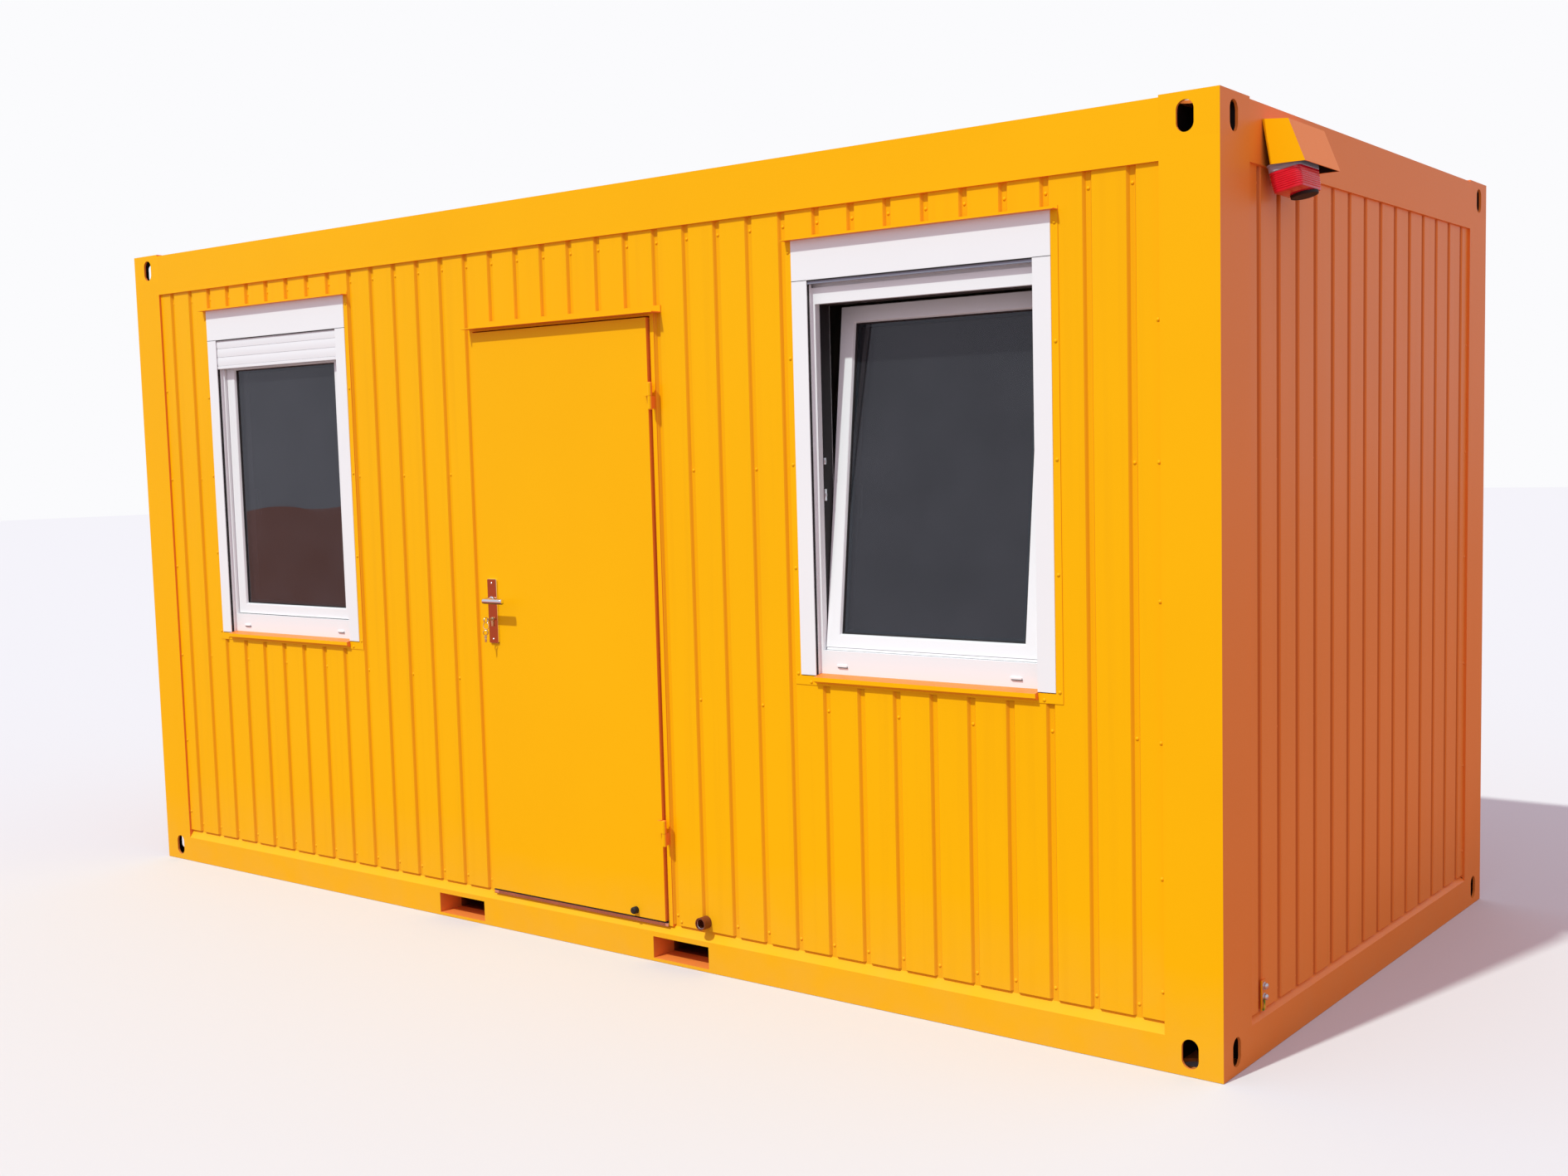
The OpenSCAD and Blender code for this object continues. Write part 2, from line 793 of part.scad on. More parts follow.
// Outline of the hood's side as [x, z] from the end face, drawn in by t
module hood_side(t) {
    low = hood_top - hood_h;
    over = t > 0 ? eps : 0;
    polygon([[-over, hood_top - t], [hood_d - t, hood_top - hood_slope - t],
        [hood_d + hood_lean - t, low - over], [t > 0 ? -eps : hood_back, low - over]]);
}

module alarm_hood() {
    color(orange) translate([half_l, 0, 0]) difference() {
        along_y(hood_mid - hood_w / 2, hood_mid + hood_w / 2) hood_side(0);
        along_y(hood_mid - hood_w / 2 + hood_t, hood_mid + hood_w / 2 - hood_t) hood_side(hood_t);
    }
}

lamp_out = 50;
lamp_up = 8;
lamp_at = [half_l + lamp_out, hood_mid - 12, rail_low + lamp_up];
plate_r = lens_r + 2;

module lamp_frame() {
    translate(lamp_at) rotate([0, -lamp_tilt, 0]) mirror([0, 0, 1]) children();
}

// Mounting arm on the top rail, a pale plate and the dark base of the lamp
module alarm_body() {
    plate = 6;
    base = 16;
    arm_w = 60;
    color([0.7, 0.72, 0.76]) union() {
        lamp_frame() {
            cylinder(h = plate, r = plate_r);
            cylinder(h = plate + base, r = lens_r);
        }
        span([half_l, lamp_at[1] - arm_w / 2, lamp_at[2] - 3], [half_l + 40, lamp_at[1] + arm_w / 2, lamp_at[2] + 3]);
        span([half_l, lamp_at[1] - arm_w / 2, lamp_at[2] - 3], [half_l + 3, lamp_at[1] + arm_w / 2, lamp_at[2] + 40]);
    }
}

module alarm_lens() {
    from = 22;
    color([0.8, 0.05, 0.08]) lamp_frame() translate([0, 0, from])
        cylinder(h = lens_h, r1 = lens_r, r2 = lens_r - 10);
}

// A painted strip welded to the wall's edge, with its two bolts
module earth_lug() {
    lug_w = 30;
    lug_t = 5;
    low = base_end_h + 5;
    color(steel) translate([half_l - wall_recess, lug_y - half_w, low]) {
        span([0, -lug_w / 2, 0], [lug_t, lug_w / 2, lug_h]);
        for (z = [0.44, 0.8]) translate([0, 0, z * lug_h]) rotate([0, 90, 0]) {
            cylinder(h = lug_t + 14, r = 4);
            cylinder(h = lug_t + 8, r = 8);
        }
    }
}

corner_castings_bottom();
corner_castings_top();
corner_posts();
base_rails_long();
base_rails_ends();
fork_pockets();
floor_joists();
floor_deck();
top_rails_long();
top_rails_ends();
roof_sheet();
ceiling();
front_wall_left();
front_wall_right();
front_wall_over_door();
back_wall();
left_end_wall();
right_end_wall();
at_left() window_flashing();  // window_left_flashing
at_left() window_shutter();  // window_left_shutter
at_left() window_curtain(slats_left);  // window_left_curtain
at_left() window_frame();  // window_left_frame
at_left() window_sash(0);  // window_left_sash
at_left() window_glass(0);  // window_left_glass
at_right() window_flashing();  // window_right_flashing
at_right() window_shutter();  // window_right_shutter
at_right() window_curtain(0);  // window_right_curtain
at_right() window_frame();  // window_right_frame
at_right() window_sash(tilt_deg);  // window_right_sash
at_right() window_glass(tilt_deg);  // window_right_glass
door_frame();
door_threshold();
door_cap();
door_hinges_fixed();
door_catch();
door_leaf();
door_hinges_moving();
handle_plates();
door_peg();
lock_and_key();
door_lever();
alarm_hood();
alarm_body();
alarm_lens();
earth_lug();
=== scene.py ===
# %% [markdown]
# # Dressing a steel site cabin
# A site cabin is a welded steel frame with sheet walls, plastic windows and one
# steel door. The solid model already has every size, so this lesson adds what
# the eye needs on top: paint, plastic, glass, rubber and the small fittings.

# %% Load the fixed frame
import json
import math
import bmesh
import bpy
from mathutils import Matrix, Vector

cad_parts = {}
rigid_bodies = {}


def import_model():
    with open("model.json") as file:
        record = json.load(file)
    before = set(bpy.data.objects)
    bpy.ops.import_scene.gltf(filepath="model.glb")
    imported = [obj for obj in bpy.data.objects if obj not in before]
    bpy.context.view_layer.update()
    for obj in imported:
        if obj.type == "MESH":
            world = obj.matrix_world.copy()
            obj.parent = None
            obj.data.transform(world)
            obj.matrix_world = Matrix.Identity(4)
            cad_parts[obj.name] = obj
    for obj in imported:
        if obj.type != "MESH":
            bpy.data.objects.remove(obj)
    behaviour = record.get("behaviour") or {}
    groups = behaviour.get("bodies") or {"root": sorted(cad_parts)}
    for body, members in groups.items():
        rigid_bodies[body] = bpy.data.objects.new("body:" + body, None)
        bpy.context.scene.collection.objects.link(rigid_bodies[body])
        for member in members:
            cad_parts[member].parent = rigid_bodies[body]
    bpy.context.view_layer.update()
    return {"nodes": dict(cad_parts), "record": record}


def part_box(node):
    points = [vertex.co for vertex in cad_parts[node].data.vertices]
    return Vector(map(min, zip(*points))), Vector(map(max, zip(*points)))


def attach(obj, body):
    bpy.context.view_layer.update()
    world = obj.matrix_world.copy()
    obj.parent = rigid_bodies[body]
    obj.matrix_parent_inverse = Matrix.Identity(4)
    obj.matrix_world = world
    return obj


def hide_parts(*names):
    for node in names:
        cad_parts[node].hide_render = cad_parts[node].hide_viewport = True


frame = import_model()
nodes = frame["nodes"]

# %% [markdown]
# ## Studio
# A camera stands at eye height beside the right front corner. One soft lamp
# high on the front side plays the sun, and the pale surroundings fill the rest,
# so the end wall stays in shade as on a bright day. The floor only shows the
# shadow. Paints are then seen at about their written colour.

# %% Colours and nodes
def linear(code):
    """A colour written as sRGB hex, as the linear numbers that Blender works in."""
    parts = [int(code[i:i + 2], 16) / 255 for i in (1, 3, 5)]
    return [c / 12.92 if c <= 0.04045 else ((c + 0.055) / 1.055) ** 2.4 for c in parts] + [1.0]


def plug(node, key, value):
    """Writes a value to an input, or links it to a socket or to a node, which stands
    for its first output, or for its colour if it is a Mix."""
    if isinstance(value, bpy.types.Node):
        value = value.outputs[2 if value.bl_idname == "ShaderNodeMix" else 0]
    if isinstance(value, bpy.types.NodeSocket):
        node.id_data.links.new(value, node.inputs[key])
    else:
        node.inputs[key].default_value = value


def add(tree, kind, inputs=None, **settings):
    """Adds a node, sets its properties and plugs its inputs. A kind without the word
    Node in it is a shader node, and a Mix mixes colours."""
    node = tree.nodes.new(kind if "Node" in kind else "ShaderNode" + kind)
    if kind == "Mix":
        node.data_type = "RGBA"
    for key, value in settings.items():
        setattr(node, key, value)
    for key, value in (inputs or {}).items():
        plug(node, key, value)
    return node


def blank(data):
    """Switches a material or a world to nodes and empties its tree."""
    data.use_nodes = True
    data.node_tree.nodes.clear()
    return data.node_tree


on_stage = bpy.context.scene.collection.objects

# %% Camera
eye = Vector((4.3618, -5.1762, 1.6789))
right = Vector((0.80356, 0.59480, -0.02245))
down = Vector((0.03402, -0.08355, -0.99592))
ahead = Vector((-0.59425, 0.79952, -0.08737))
lens = bpy.data.cameras.new("camera")
camera = bpy.data.objects.new("camera", lens)
on_stage.link(camera)
camera.matrix_world = Matrix.Translation(eye) @ Matrix((right, -down, -ahead)).transposed().to_4x4()
lens.sensor_width = 36.0
lens.lens = 38.99
lens.shift_x = -0.0510
lens.shift_y = 0.0113
lens.clip_end = 200.0
bpy.context.scene.camera = camera
bpy.context.scene.view_settings.view_transform = "Standard"
print("lens", lens.lens, "mm")

# %% Lamp and surroundings
lamp = bpy.data.objects.new("high_lamp", bpy.data.lights.new("high_lamp", "SUN"))
on_stage.link(lamp)
lamp.data.energy = 2.65
lamp.data.angle = math.radians(1.6)
lamp.data.color = (0.90, 1.0, 0.93)
lamp.rotation_euler = Vector((0.21, 1.0, -1.4)).to_track_quat("-Z", "Y").to_euler()

world = bpy.data.worlds.new("pale_room")
bpy.context.scene.world = world
sky = blank(world)
seen = add(sky, "LightPath")
plain = add(sky, "Math", {0: seen.outputs["Is Camera Ray"],
    1: seen.outputs["Is Transmission Ray"]}, operation="MAXIMUM")
strength = add(sky, "MapRange", {"Value": plain, "To Min": 0.72, "To Max": 1.0})
haze = add(sky, "Mix", {0: seen.outputs["Is Glossy Ray"], 6: (0.98, 0.86, 1.0, 1.0),
    7: (0.90, 0.92, 1.08, 1.0)})
tone = add(sky, "Mix", {0: plain, 6: haze, 7: linear("#FBFBFD")})
glow = add(sky, "Background", {"Color": tone, "Strength": strength})
add(sky, "OutputWorld", {"Surface": glow})

# %% Floor
floor_mesh = bpy.data.meshes.new("floor")
reach = 60.0
floor_mesh.from_pydata([(-reach, -reach, 0), (reach, -reach, 0), (reach, reach, 0), (-reach, reach, 0)],
    [], [(0, 1, 2, 3)])
floor = bpy.data.objects.new("floor", floor_mesh)
on_stage.link(floor)
floor.location.z = -0.001
paper = bpy.data.materials.new("studio_floor")
ground = blank(paper)
looked_at = add(ground, "LightPath")
yard = add(ground, "Mix", {0: looked_at.outputs["Is Glossy Ray"], 6: (0.34, 0.28, 0.27, 1.0),
    7: (0.58, 0.24, 0.17, 1.0)})
ground_tone = add(ground, "Mix", {0: looked_at.outputs["Is Camera Ray"], 6: yard, 7: linear("#D9D9DB")})
ground_face = add(ground, "BsdfDiffuse", {"Color": ground_tone})
add(ground, "OutputMaterial", {"Surface": ground_face})
floor_mesh.materials.append(paper)

# %% [markdown]
# ## Finishes
# Every finish starts from a plain surface whose colour drifts a little over
# half a metre and whose skin has a fine grain. That small unevenness is what
# separates real paint or plastic from a flat colour. Each one then gets its own
# nodes: dust near the ground, painted shade in grooves and hollows, painted sunlight on front faces, streaks,
# spangles.

# %% The common surface
finish = {}


def surface(name, colour, roughness, metallic=0.0, drift=0.05, drift_mm=450, grain_mm=4,
        depth_mm=0.03, stretch=(1, 1, 1)):
    """A material with slow colour drift and a fine grain. Returns its tree, coordinates,
    drifting colour, grain bump and shader, so that a finish can add to them."""
    material = bpy.data.materials.new(name)
    tree = blank(material)
    place = add(tree, "TexCoord").outputs["Object"]
    pulled = add(tree, "Mapping", {"Vector": place, "Scale": stretch})
    clouds = add(tree, "TexNoise", {"Vector": place, "Scale": 1000 / drift_mm, "Detail": 3.0})
    grain = add(tree, "TexNoise", {"Vector": pulled, "Scale": 1000 / grain_mm, "Detail": 2.0})
    light = [min(1.0, c * (1 + drift)) for c in linear(colour)[:3]] + [1.0]
    dark = [c * (1 - 2 * drift) for c in linear(colour)[:3]] + [1.0]
    paint = add(tree, "Mix", {0: clouds, 6: dark, 7: light})
    gloss = add(tree, "MapRange", {"Value": grain,
        "To Min": max(0.02, roughness * 0.85), "To Max": roughness * 1.15})
    skin = add(tree, "Bump", {"Height": grain, "Strength": 0.6, "Distance": depth_mm / 1000})
    shader = add(tree, "BsdfPrincipled", {"Base Color": paint,
        "Roughness": gloss, "Metallic": metallic, "Normal": skin})
    add(tree, "OutputMaterial", {"Surface": shader})
    finish[name] = material
    return tree, place, paint, skin, shader


# %% Sprayed paint of the frame and door
# Two-part enamel sprayed over primer: satin, a slight orange-peel skin, and some
# site dust that settles low down. Faces that look to the front are painted a lighter
# amber as painted sunlight, the others keep a deeper orange as painted shade. Its bumps, 2 mm wide, are drawn
# as 6.
AMBER = "#FFBB02"
AMBER_DARK = "#FAB301"
ORANGE = "#FA8B36"
DUST = "#D9A873"


def sunlit_side_and_dust(tree, place, paint, shader, top, amount, behind=None):
    """Paints the faces that look to the front a lighter amber as painted sunlight, except
    those behind a given y, and mixes dust into the part below top. These painted sunlit faces shine less."""
    spot = add(tree, "SeparateXYZ", {0: place})
    way = add(tree, "TexCoord").outputs["Normal"]
    to_front = add(tree, "SeparateXYZ", {0: way})
    sunny = add(tree, "MapRange", {"Value": to_front.outputs["Y"], "From Min": -0.2, "From Max": -0.7})
    if behind is not None:
        ahead_of = add(tree, "Math", {0: spot.outputs["Y"], 1: behind}, operation="LESS_THAN")
        sunny = add(tree, "Math", {0: sunny, 1: ahead_of}, operation="MULTIPLY")
    clouds = paint.inputs[0].links[0].from_socket
    # Faces that look to the front get a lighter amber: painted sunlight.
    sunlit_amber = add(tree, "Mix", {0: clouds, 6: linear(AMBER_DARK), 7: linear(AMBER)})
    paint = add(tree, "Mix", {0: sunny, 6: paint, 7: sunlit_amber})
    low = add(tree, "MapRange", {"Value": spot.outputs["Z"], "From Min": 0.0,
        "From Max": top, "To Min": amount, "To Max": 0.0})
    patches = add(tree, "TexNoise", {"Vector": place, "Scale": 9.0, "Detail": 6.0})
    share = add(tree, "Math", {0: low, 1: patches}, operation="MULTIPLY")
    mixed = add(tree, "Mix", {0: share, 6: paint, 7: linear(DUST)})
    plug(shader, "Base Color", mixed)
    shine = add(tree, "MapRange", {"Value": sunny, "To Min": 0.25, "To Max": 0.10})
    plug(shader, "Specular IOR Level", shine)
    return mixed


tree, place, paint, skin, shader = surface("sprayed_enamel", ORANGE, 0.42, drift=0.03,
    drift_mm=700, grain_mm=6, depth_mm=0.05)
sunlit_side_and_dust(tree, place, paint, shader, top=0.30, amount=0.25, behind=-0.80)

# %% Corner castings
# The same enamel outside. The hollow inside is painted nearly black as painted
# shade, so the slots read as deep holes with a painted rim.
def within(tree, place, half, middle_z=0.0):
    """One where a point lies inside a box of these half sizes, nought outside it."""
    along = add(tree, "SeparateXYZ", {0: place})
    inside = 1.0
    for axis, limit, middle in zip("XYZ", half, (0.0, 0.0, middle_z)):
        shifted = add(tree, "Math", {0: along.outputs[axis], 1: middle}, operation="SUBTRACT")
        away = add(tree, "Math", {0: shifted}, operation="ABSOLUTE")
        near = add(tree, "Math", {0: away, 1: limit}, operation="LESS_THAN")
        inside = add(tree, "Math", {0: near, 1: inside}, operation="MULTIPLY")
    return inside


tree, place, paint, skin, shader = surface("casting_enamel", ORANGE, 0.42, drift=0.03,
    drift_mm=300, grain_mm=7, depth_mm=0.12)
outside = sunlit_side_and_dust(tree, place, paint, shader, top=0.30, amount=0.25, behind=-1.110)
hollow = within(tree, place, (2.487, 1.1045, 1.2865), 1.2955)  # just inside the outer faces
# Painted shade: the inside of the hollow castings is nearly black.
hollow_shaded = add(tree, "Mix", {0: hollow, 6: outside, 7: linear("#1C0F10")})
plug(shader, "Base Color", hollow_shaded)

# %% Fork pockets
# The pockets are painted darker towards the middle of the cabin, as painted shade deep inside them.
tree, place, paint, skin, shader = surface("pocket_enamel", ORANGE, 0.50, drift=0.05,
    drift_mm=200, grain_mm=7, depth_mm=0.12)
outside = sunlit_side_and_dust(tree, place, paint, shader, top=0.30, amount=0.25)
across = add(tree, "SeparateXYZ", {0: place})
from_middle = add(tree, "Math", {0: across.outputs["Y"]}, operation="ABSOLUTE")
pocket_shade = add(tree, "MapRange", {"Value": from_middle, "From Min": 1.108,
    "From Max": 0.985, "To Min": 0.15, "To Max": 0.96})
# Painted shade deep in the pockets.
pocket_shaded = add(tree, "Mix", {0: pocket_shade, 6: outside, 7: linear("#3A0E08")})
plug(shader, "Base Color", pocket_shaded)

# %% Coated sheet of the walls
# The wall sheet is rolled from coated coil and is never quite flat, so long
# shallow waves run down the flats. Rain leaves faint upright streaks. The grooves
# are painted darker as painted shade, less on the front wall. The room
# side is a white board, which the same material shows behind the frame's depth.
FRONT_WALL = -1.05  # the front wall lies before this y
ROOM = (2.3965, 1.0140)
tree, place, paint, skin, shader = surface("coated_wall_sheet", ORANGE, 0.36, drift=0.035,
    drift_mm=900, grain_mm=5, depth_mm=0.03)
painted = sunlit_side_and_dust(tree, place, paint, shader, top=0.40, amount=0.2, behind=FRONT_WALL)
flow = add(tree, "Mapping", {"Vector": place, "Scale": (28, 28, 0.7)})
streaks = add(tree, "TexNoise", {"Vector": flow, "Scale": 1.0, "Detail": 3.0})
streak_share = add(tree, "MapRange", {"Value": streaks, "From Min": 0.5,
    "From Max": 0.8, "To Min": 0.0, "To Max": 0.10})
streaked = add(tree, "Mix", {0: streak_share, 6: painted, 7: linear("#D97F0E")})
in_groove = within(tree, place, (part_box("right_end_wall")[1].x - 0.0035, 1.1010))  # 3.5 mm down
wall_at = add(tree, "SeparateXYZ", {0: place})
front_wall = add(tree, "Math", {0: wall_at.outputs["Y"], 1: FRONT_WALL}, operation="LESS_THAN")
groove_shade_strength = add(tree, "MapRange", {"Value": front_wall, "To Min": 0.42, "To Max": 0.10})
groove_shade = add(tree, "Math", {0: in_groove, 1: groove_shade_strength}, operation="MULTIPLY")
# Painted shade in the grooves, stronger away from the front wall.
groove_shaded = add(tree, "Mix", {0: groove_shade, 6: streaked, 7: linear("#AA420A")})
indoors = within(tree, place, ROOM)
lined = add(tree, "Mix", {0: indoors, 6: groove_shaded, 7: linear("#B9B5AC")})
plug(shader, "Base Color", lined)
waves_at = add(tree, "Mapping", {"Vector": place, "Scale": (6, 6, 1.1)})
waves = add(tree, "TexNoise", {"Vector": waves_at, "Scale": 1.0, "Detail": 1.0})
oil_canning = add(tree, "Bump", {"Height": waves, "Strength": 0.5, "Distance": 0.006, "Normal": skin})
plug(shader, "Normal", oil_canning)

# %% Window plastic, slats and rubber
# Extruded PVC is smooth and a little glossy. The slats are foamed aluminium with
# a matt coat, and the seals are black EPDM rubber with hardly any shine.
surface("extruded_pvc", "#F4F4F6", 0.30, drift=0.012, grain_mm=3, depth_mm=0.01)
surface("coated_slats", "#F1F1F4", 0.42, drift=0.012, grain_mm=2, depth_mm=0.02)
# A darker blue grey stands for the shade on the right curtain's end rail, as painted shade.
surface("shade_grey_rail", "#8F96A6", 0.45, metallic=0.3, drift=0.03, grain_mm=3, depth_mm=0.02)
surface("epdm_rubber", "#17171A", 0.70, drift=0.10, drift_mm=60, grain_mm=2, depth_mm=0.05)
surface("drip_shadow_gap", "#24262B", 0.60, drift=0.05, drift_mm=80)

# %% Double glazing
# Clear float glass with a tinted coat and a thin film of dust. The dark room
# behind makes it look nearly black, and the surroundings lie on it faintly.
glass = bpy.data.materials.new("tinted_float_glass")
pane = blank(glass)
pane_at = add(pane, "TexCoord")
ripple = add(pane, "TexNoise", {"Vector": pane_at.outputs["Object"], "Scale": 2.2, "Detail": 1.0})
roller_wave = add(pane, "Bump", {"Height": ripple, "Strength": 0.25, "Distance": 0.004})
pane_face = add(pane, "BsdfPrincipled", {"Base Color": linear("#6E7076"), "Roughness": 0.0,
    "IOR": 1.52, "Transmission Weight": 1.0, "Normal": roller_wave})
film_at = add(pane, "TexNoise", {"Vector": pane_at.outputs["Object"], "Scale": 5.0, "Detail": 4.0})
film = add(pane, "MapRange", {"Value": film_at, "To Min": 0.012, "To Max": 0.042})
dust_face = add(pane, "BsdfDiffuse", {"Color": linear("#D3D3E4")})
dusted = add(pane, "MixShader", {0: film, 1: pane_face, 2: dust_face})
add(pane, "OutputMaterial", {"Surface": dusted})
finish["tinted_float_glass"] = glass

# %% Bare metals
# Stainless steel and satin chrome mirror the surroundings softly; the satin chrome
# of the handle plates is tinted reddish brown as a painted reflection of a reddish yard. Brush lines are
# about 0.5 mm apart, drawn as 3 so that they show. Faces of the chrome that look down are painted dark as
# painted shade under a lever or a ring.
surface("brushed_stainless", "#BFA79A", 0.24, metallic=1.0, drift=0.16, drift_mm=110, grain_mm=3,
    depth_mm=0.06, stretch=(0.05, 1, 1))
tree, place, paint, skin, shader = surface("polished_chrome", "#F2F1F1", 0.13, metallic=1.0, drift=0.03,
    drift_mm=60, grain_mm=4, depth_mm=0.01)
chrome_way = add(tree, "SeparateXYZ", {0: add(tree, "TexCoord").outputs["Normal"]})
# Faces that look down are painted dark: painted shade.
underside_shade = add(tree, "MapRange", {"Value": chrome_way.outputs["Z"], "From Min": -0.10,
    "From Max": -0.45, "To Max": 0.9})
underside_shaded = add(tree, "Mix", {0: underside_shade, 6: paint, 7: linear("#3B2D31")})
plug(shader, "Base Color", underside_shaded)
# The plate's reddish brown base colour is a painted reflection of a reddish yard in the chrome.
surface("satin_chrome_plate", "#C07A58", 0.13, metallic=1.0, drift=0.04, drift_mm=50, grain_mm=3,
    depth_mm=0.01, stretch=(1, 1, 0.05))
surface("nickel_brass", "#D9CBA6", 0.25, metallic=1.0, drift=0.05, drift_mm=15, grain_mm=2, depth_mm=0.01)
surface("zinc_plated", "#D2D4D9", 0.30, metallic=1.0, drift=0.08, drift_mm=12, grain_mm=3, depth_mm=0.03)

# %% Roof, underside and inside
# Galvanised sheet shows spangles, flat crystals about 15 mm across. The joists
# are primed in grey, and the floor inside is a grey sheet on boards.
tree, place, paint, skin, shader = surface("galvanised_sheet", "#B4B9BC", 0.42, metallic=0.85,
    drift=0.05, grain_mm=8, depth_mm=0.04)
crystals = add(tree, "TexVoronoi", {"Vector": place, "Scale": 60.0})
spangle = add(tree, "Mix", {0: crystals.outputs["Color"], 6: linear("#9FA5A9"), 7: linear("#C6CACC")})
plug(shader, "Base Color", spangle)
surface("grey_primer", "#5A5C60", 0.62, drift=0.10, drift_mm=300, grain_mm=5, depth_mm=0.08)
surface("white_board", "#DCDBD6", 0.50, drift=0.02, grain_mm=4)
surface("floor_sheet", "#77736C", 0.55, drift=0.10, drift_mm=120, grain_mm=6, depth_mm=0.05,
    stretch=(0.1, 1, 1))

# %% Alarm lamp and small plastics
# The lens is clear red polycarbonate over a reflector, the base a pale grey
# plastic, and the door catch a brown one.
tree, place, paint, skin, shader = surface("red_polycarbonate", "#FA1E38", 0.12, drift=0.12,
    drift_mm=30, grain_mm=6, depth_mm=0.02)
plug(shader, "Transmission Weight", 0.12)
plug(shader, "IOR", 1.58)
surface("grey_lamp_plastic", "#A9ABB8", 0.45, drift=0.04, drift_mm=60, grain_mm=2)
surface("brown_catch_plastic", "#7A3B1C", 0.50, drift=0.10, drift_mm=25, grain_mm=2)
tree, place, paint, skin, shader = surface("green_yellow_sheath", "#5F9A2C", 0.45, drift=0.05,
    drift_mm=40, grain_mm=2)
turns = add(tree, "TexWave", {"Vector": place, "Scale": 22.0}, bands_direction="DIAGONAL")
sheath = add(tree, "Mix", {0: turns.outputs["Fac"], 6: linear("#4E8A2A"), 7: linear("#D9C62B")})
plug(shader, "Base Color", sheath)
print(len(finish), "finishes")

# %% Put a finish on every solid piece
slot_finish = {"orange_paint": "sprayed_enamel", "white_pvc": "extruded_pvc", "grey_slats": "coated_slats",
    "window_glass": "tinted_float_glass", "underframe_steel": "grey_primer", "floor_board": "floor_sheet",
    "zinc_sheet": "galvanised_sheet", "white_board": "white_board", "stainless_steel": "brushed_stainless",
    "catch_plastic": "brown_catch_plastic", "satin_metal": "satin_chrome_plate", "key_metal": "nickel_brass",
    "black_rubber": "epdm_rubber", "lamp_plastic": "grey_lamp_plastic", "red_lens": "red_polycarbonate"}
own_finish = {name: "coated_wall_sheet" for name in nodes if "wall" in name}
own_finish.update({name: "casting_enamel" for name in nodes if "casting" in name})
own_finish["fork_pockets"] = "pocket_enamel"
for part in frame["record"]["subparts"]:
    name = part["node"]
    chosen = finish[own_finish.get(name, slot_finish[part["material_slot"]])]
    mesh = nodes[name].data
    mesh.materials.clear()
    mesh.materials.append(chosen)
print(len(nodes), "solid pieces have a finish")

# %% [markdown]
# ## Tools for small pieces
# Most fittings are a few blocks with softened edges, turned shapes, bent rods or
# a strip that runs round a window. Small helpers draw these into one mesh, which
# then becomes a single piece riding on its body.

# %% Blocks
def block(bm, low, high, soften=0.0, turn=None):
    """A block between two opposite corners, with its edges rounded over by soften."""
    low, high = (Vector([pick(pair) for pair in zip(low, high)]) for pick in (min, max))
    made = bmesh.ops.create_cube(bm, size=1.0)["verts"]
    size = high - low
    for v in made:
        v.co = Vector([v.co[i] * size[i] for i in range(3)]) + (low + high) / 2
    if soften:
        edges = list({e for v in made for e in v.link_edges})
        made = bmesh.ops.bevel(bm, geom=edges, offset=soften, segments=2, profile=0.5,
            affect="EDGES")["verts"]
    if turn is not None:
        bmesh.ops.transform(bm, matrix=turn, verts=list(set(made)))
    return made


# %% Turns, shifts and rings of points
shift = Matrix.Translation


def spin(degrees, axis):
    """A turn by so many degrees about the X, Y or Z axis."""
    return Matrix.Rotation(math.radians(degrees), 4, axis)


def wrap(bm, rings, capped=True):
    """Joins rings of points with faces, one ring to the next, and caps both ends."""
    for one, two in zip(rings, rings[1:]):
        for k in range(len(one)):
            j = (k + 1) % len(one)
            bm.faces.new((one[k], one[j], two[j], two[k]))
    if capped:
        bm.faces.new(rings[0])
        bm.faces.new(rings[-1])


def rounded(half_a, half_b, corner, inset, count):
    """Points (a, b) round a rectangle with round corners, count of them at each."""
    points = []
    for side_a, side_b, start in ((1, 1, 0), (-1, 1, 90), (-1, -1, 180), (1, -1, 270)):
        for k in range(count):
            angle = math.radians(start + 90 * k / (count - 1))
            points.append((side_a * (half_a - corner) + (corner - inset) * math.cos(angle),
                side_b * (half_b - corner) + (corner - inset) * math.sin(angle)))
    return points


# %% Turned shapes
def turned(bm, outline, place, steps=24):
    """Spins an outline of (radius, height) pairs round an axis and moves it to place."""
    rings = []
    for radius, height in outline:
        if radius < 1e-7:
            rings.append([bm.verts.new(place @ Vector((0, 0, height)))])
        else:
            rings.append([bm.verts.new(place @ Vector((radius * math.cos(a), radius * math.sin(a), height)))
                for a in (2 * math.pi * i / steps for i in range(steps))])
    for one, two in zip(rings, rings[1:]):
        for i in range(steps):
            j = (i + 1) % steps
            face = [one[i % len(one)], one[j % len(one)], two[j % len(two)], two[i % len(two)]]
            face = list(dict.fromkeys(face))
            if len(face) > 2:
                bm.faces.new(face)


# %% Rods and mitred strips
def rod(bm, path, radius, steps=12, closed=False, flat=1.0):
    """A round rod along a path of points, flattened across by flat."""
    path = [Vector(p) for p in path]
    count = len(path)
    side = None
    rings = []
    for i, p in enumerate(path):
        before = path[(i - 1) % count] if closed or i else p
        after = path[(i + 1) % count] if closed or i < count - 1 else p
        way = (after - before).normalized()
        if side is None:
            side = way.cross(Vector((0, 0, 1)))
            side = side.normalized() if side.length > 0.1 else way.cross(Vector((1, 0, 0))).normalized()
        side = (side - way * side.dot(way)).normalized()
        up = way.cross(side)
        rings.append([bm.verts.new(p + side * radius * math.cos(a) + up * radius * flat * math.sin(a))
            for a in (2 * math.pi * k / steps for k in range(steps))])
    wrap(bm, rings + rings[:1] if closed else rings, capped=not closed)


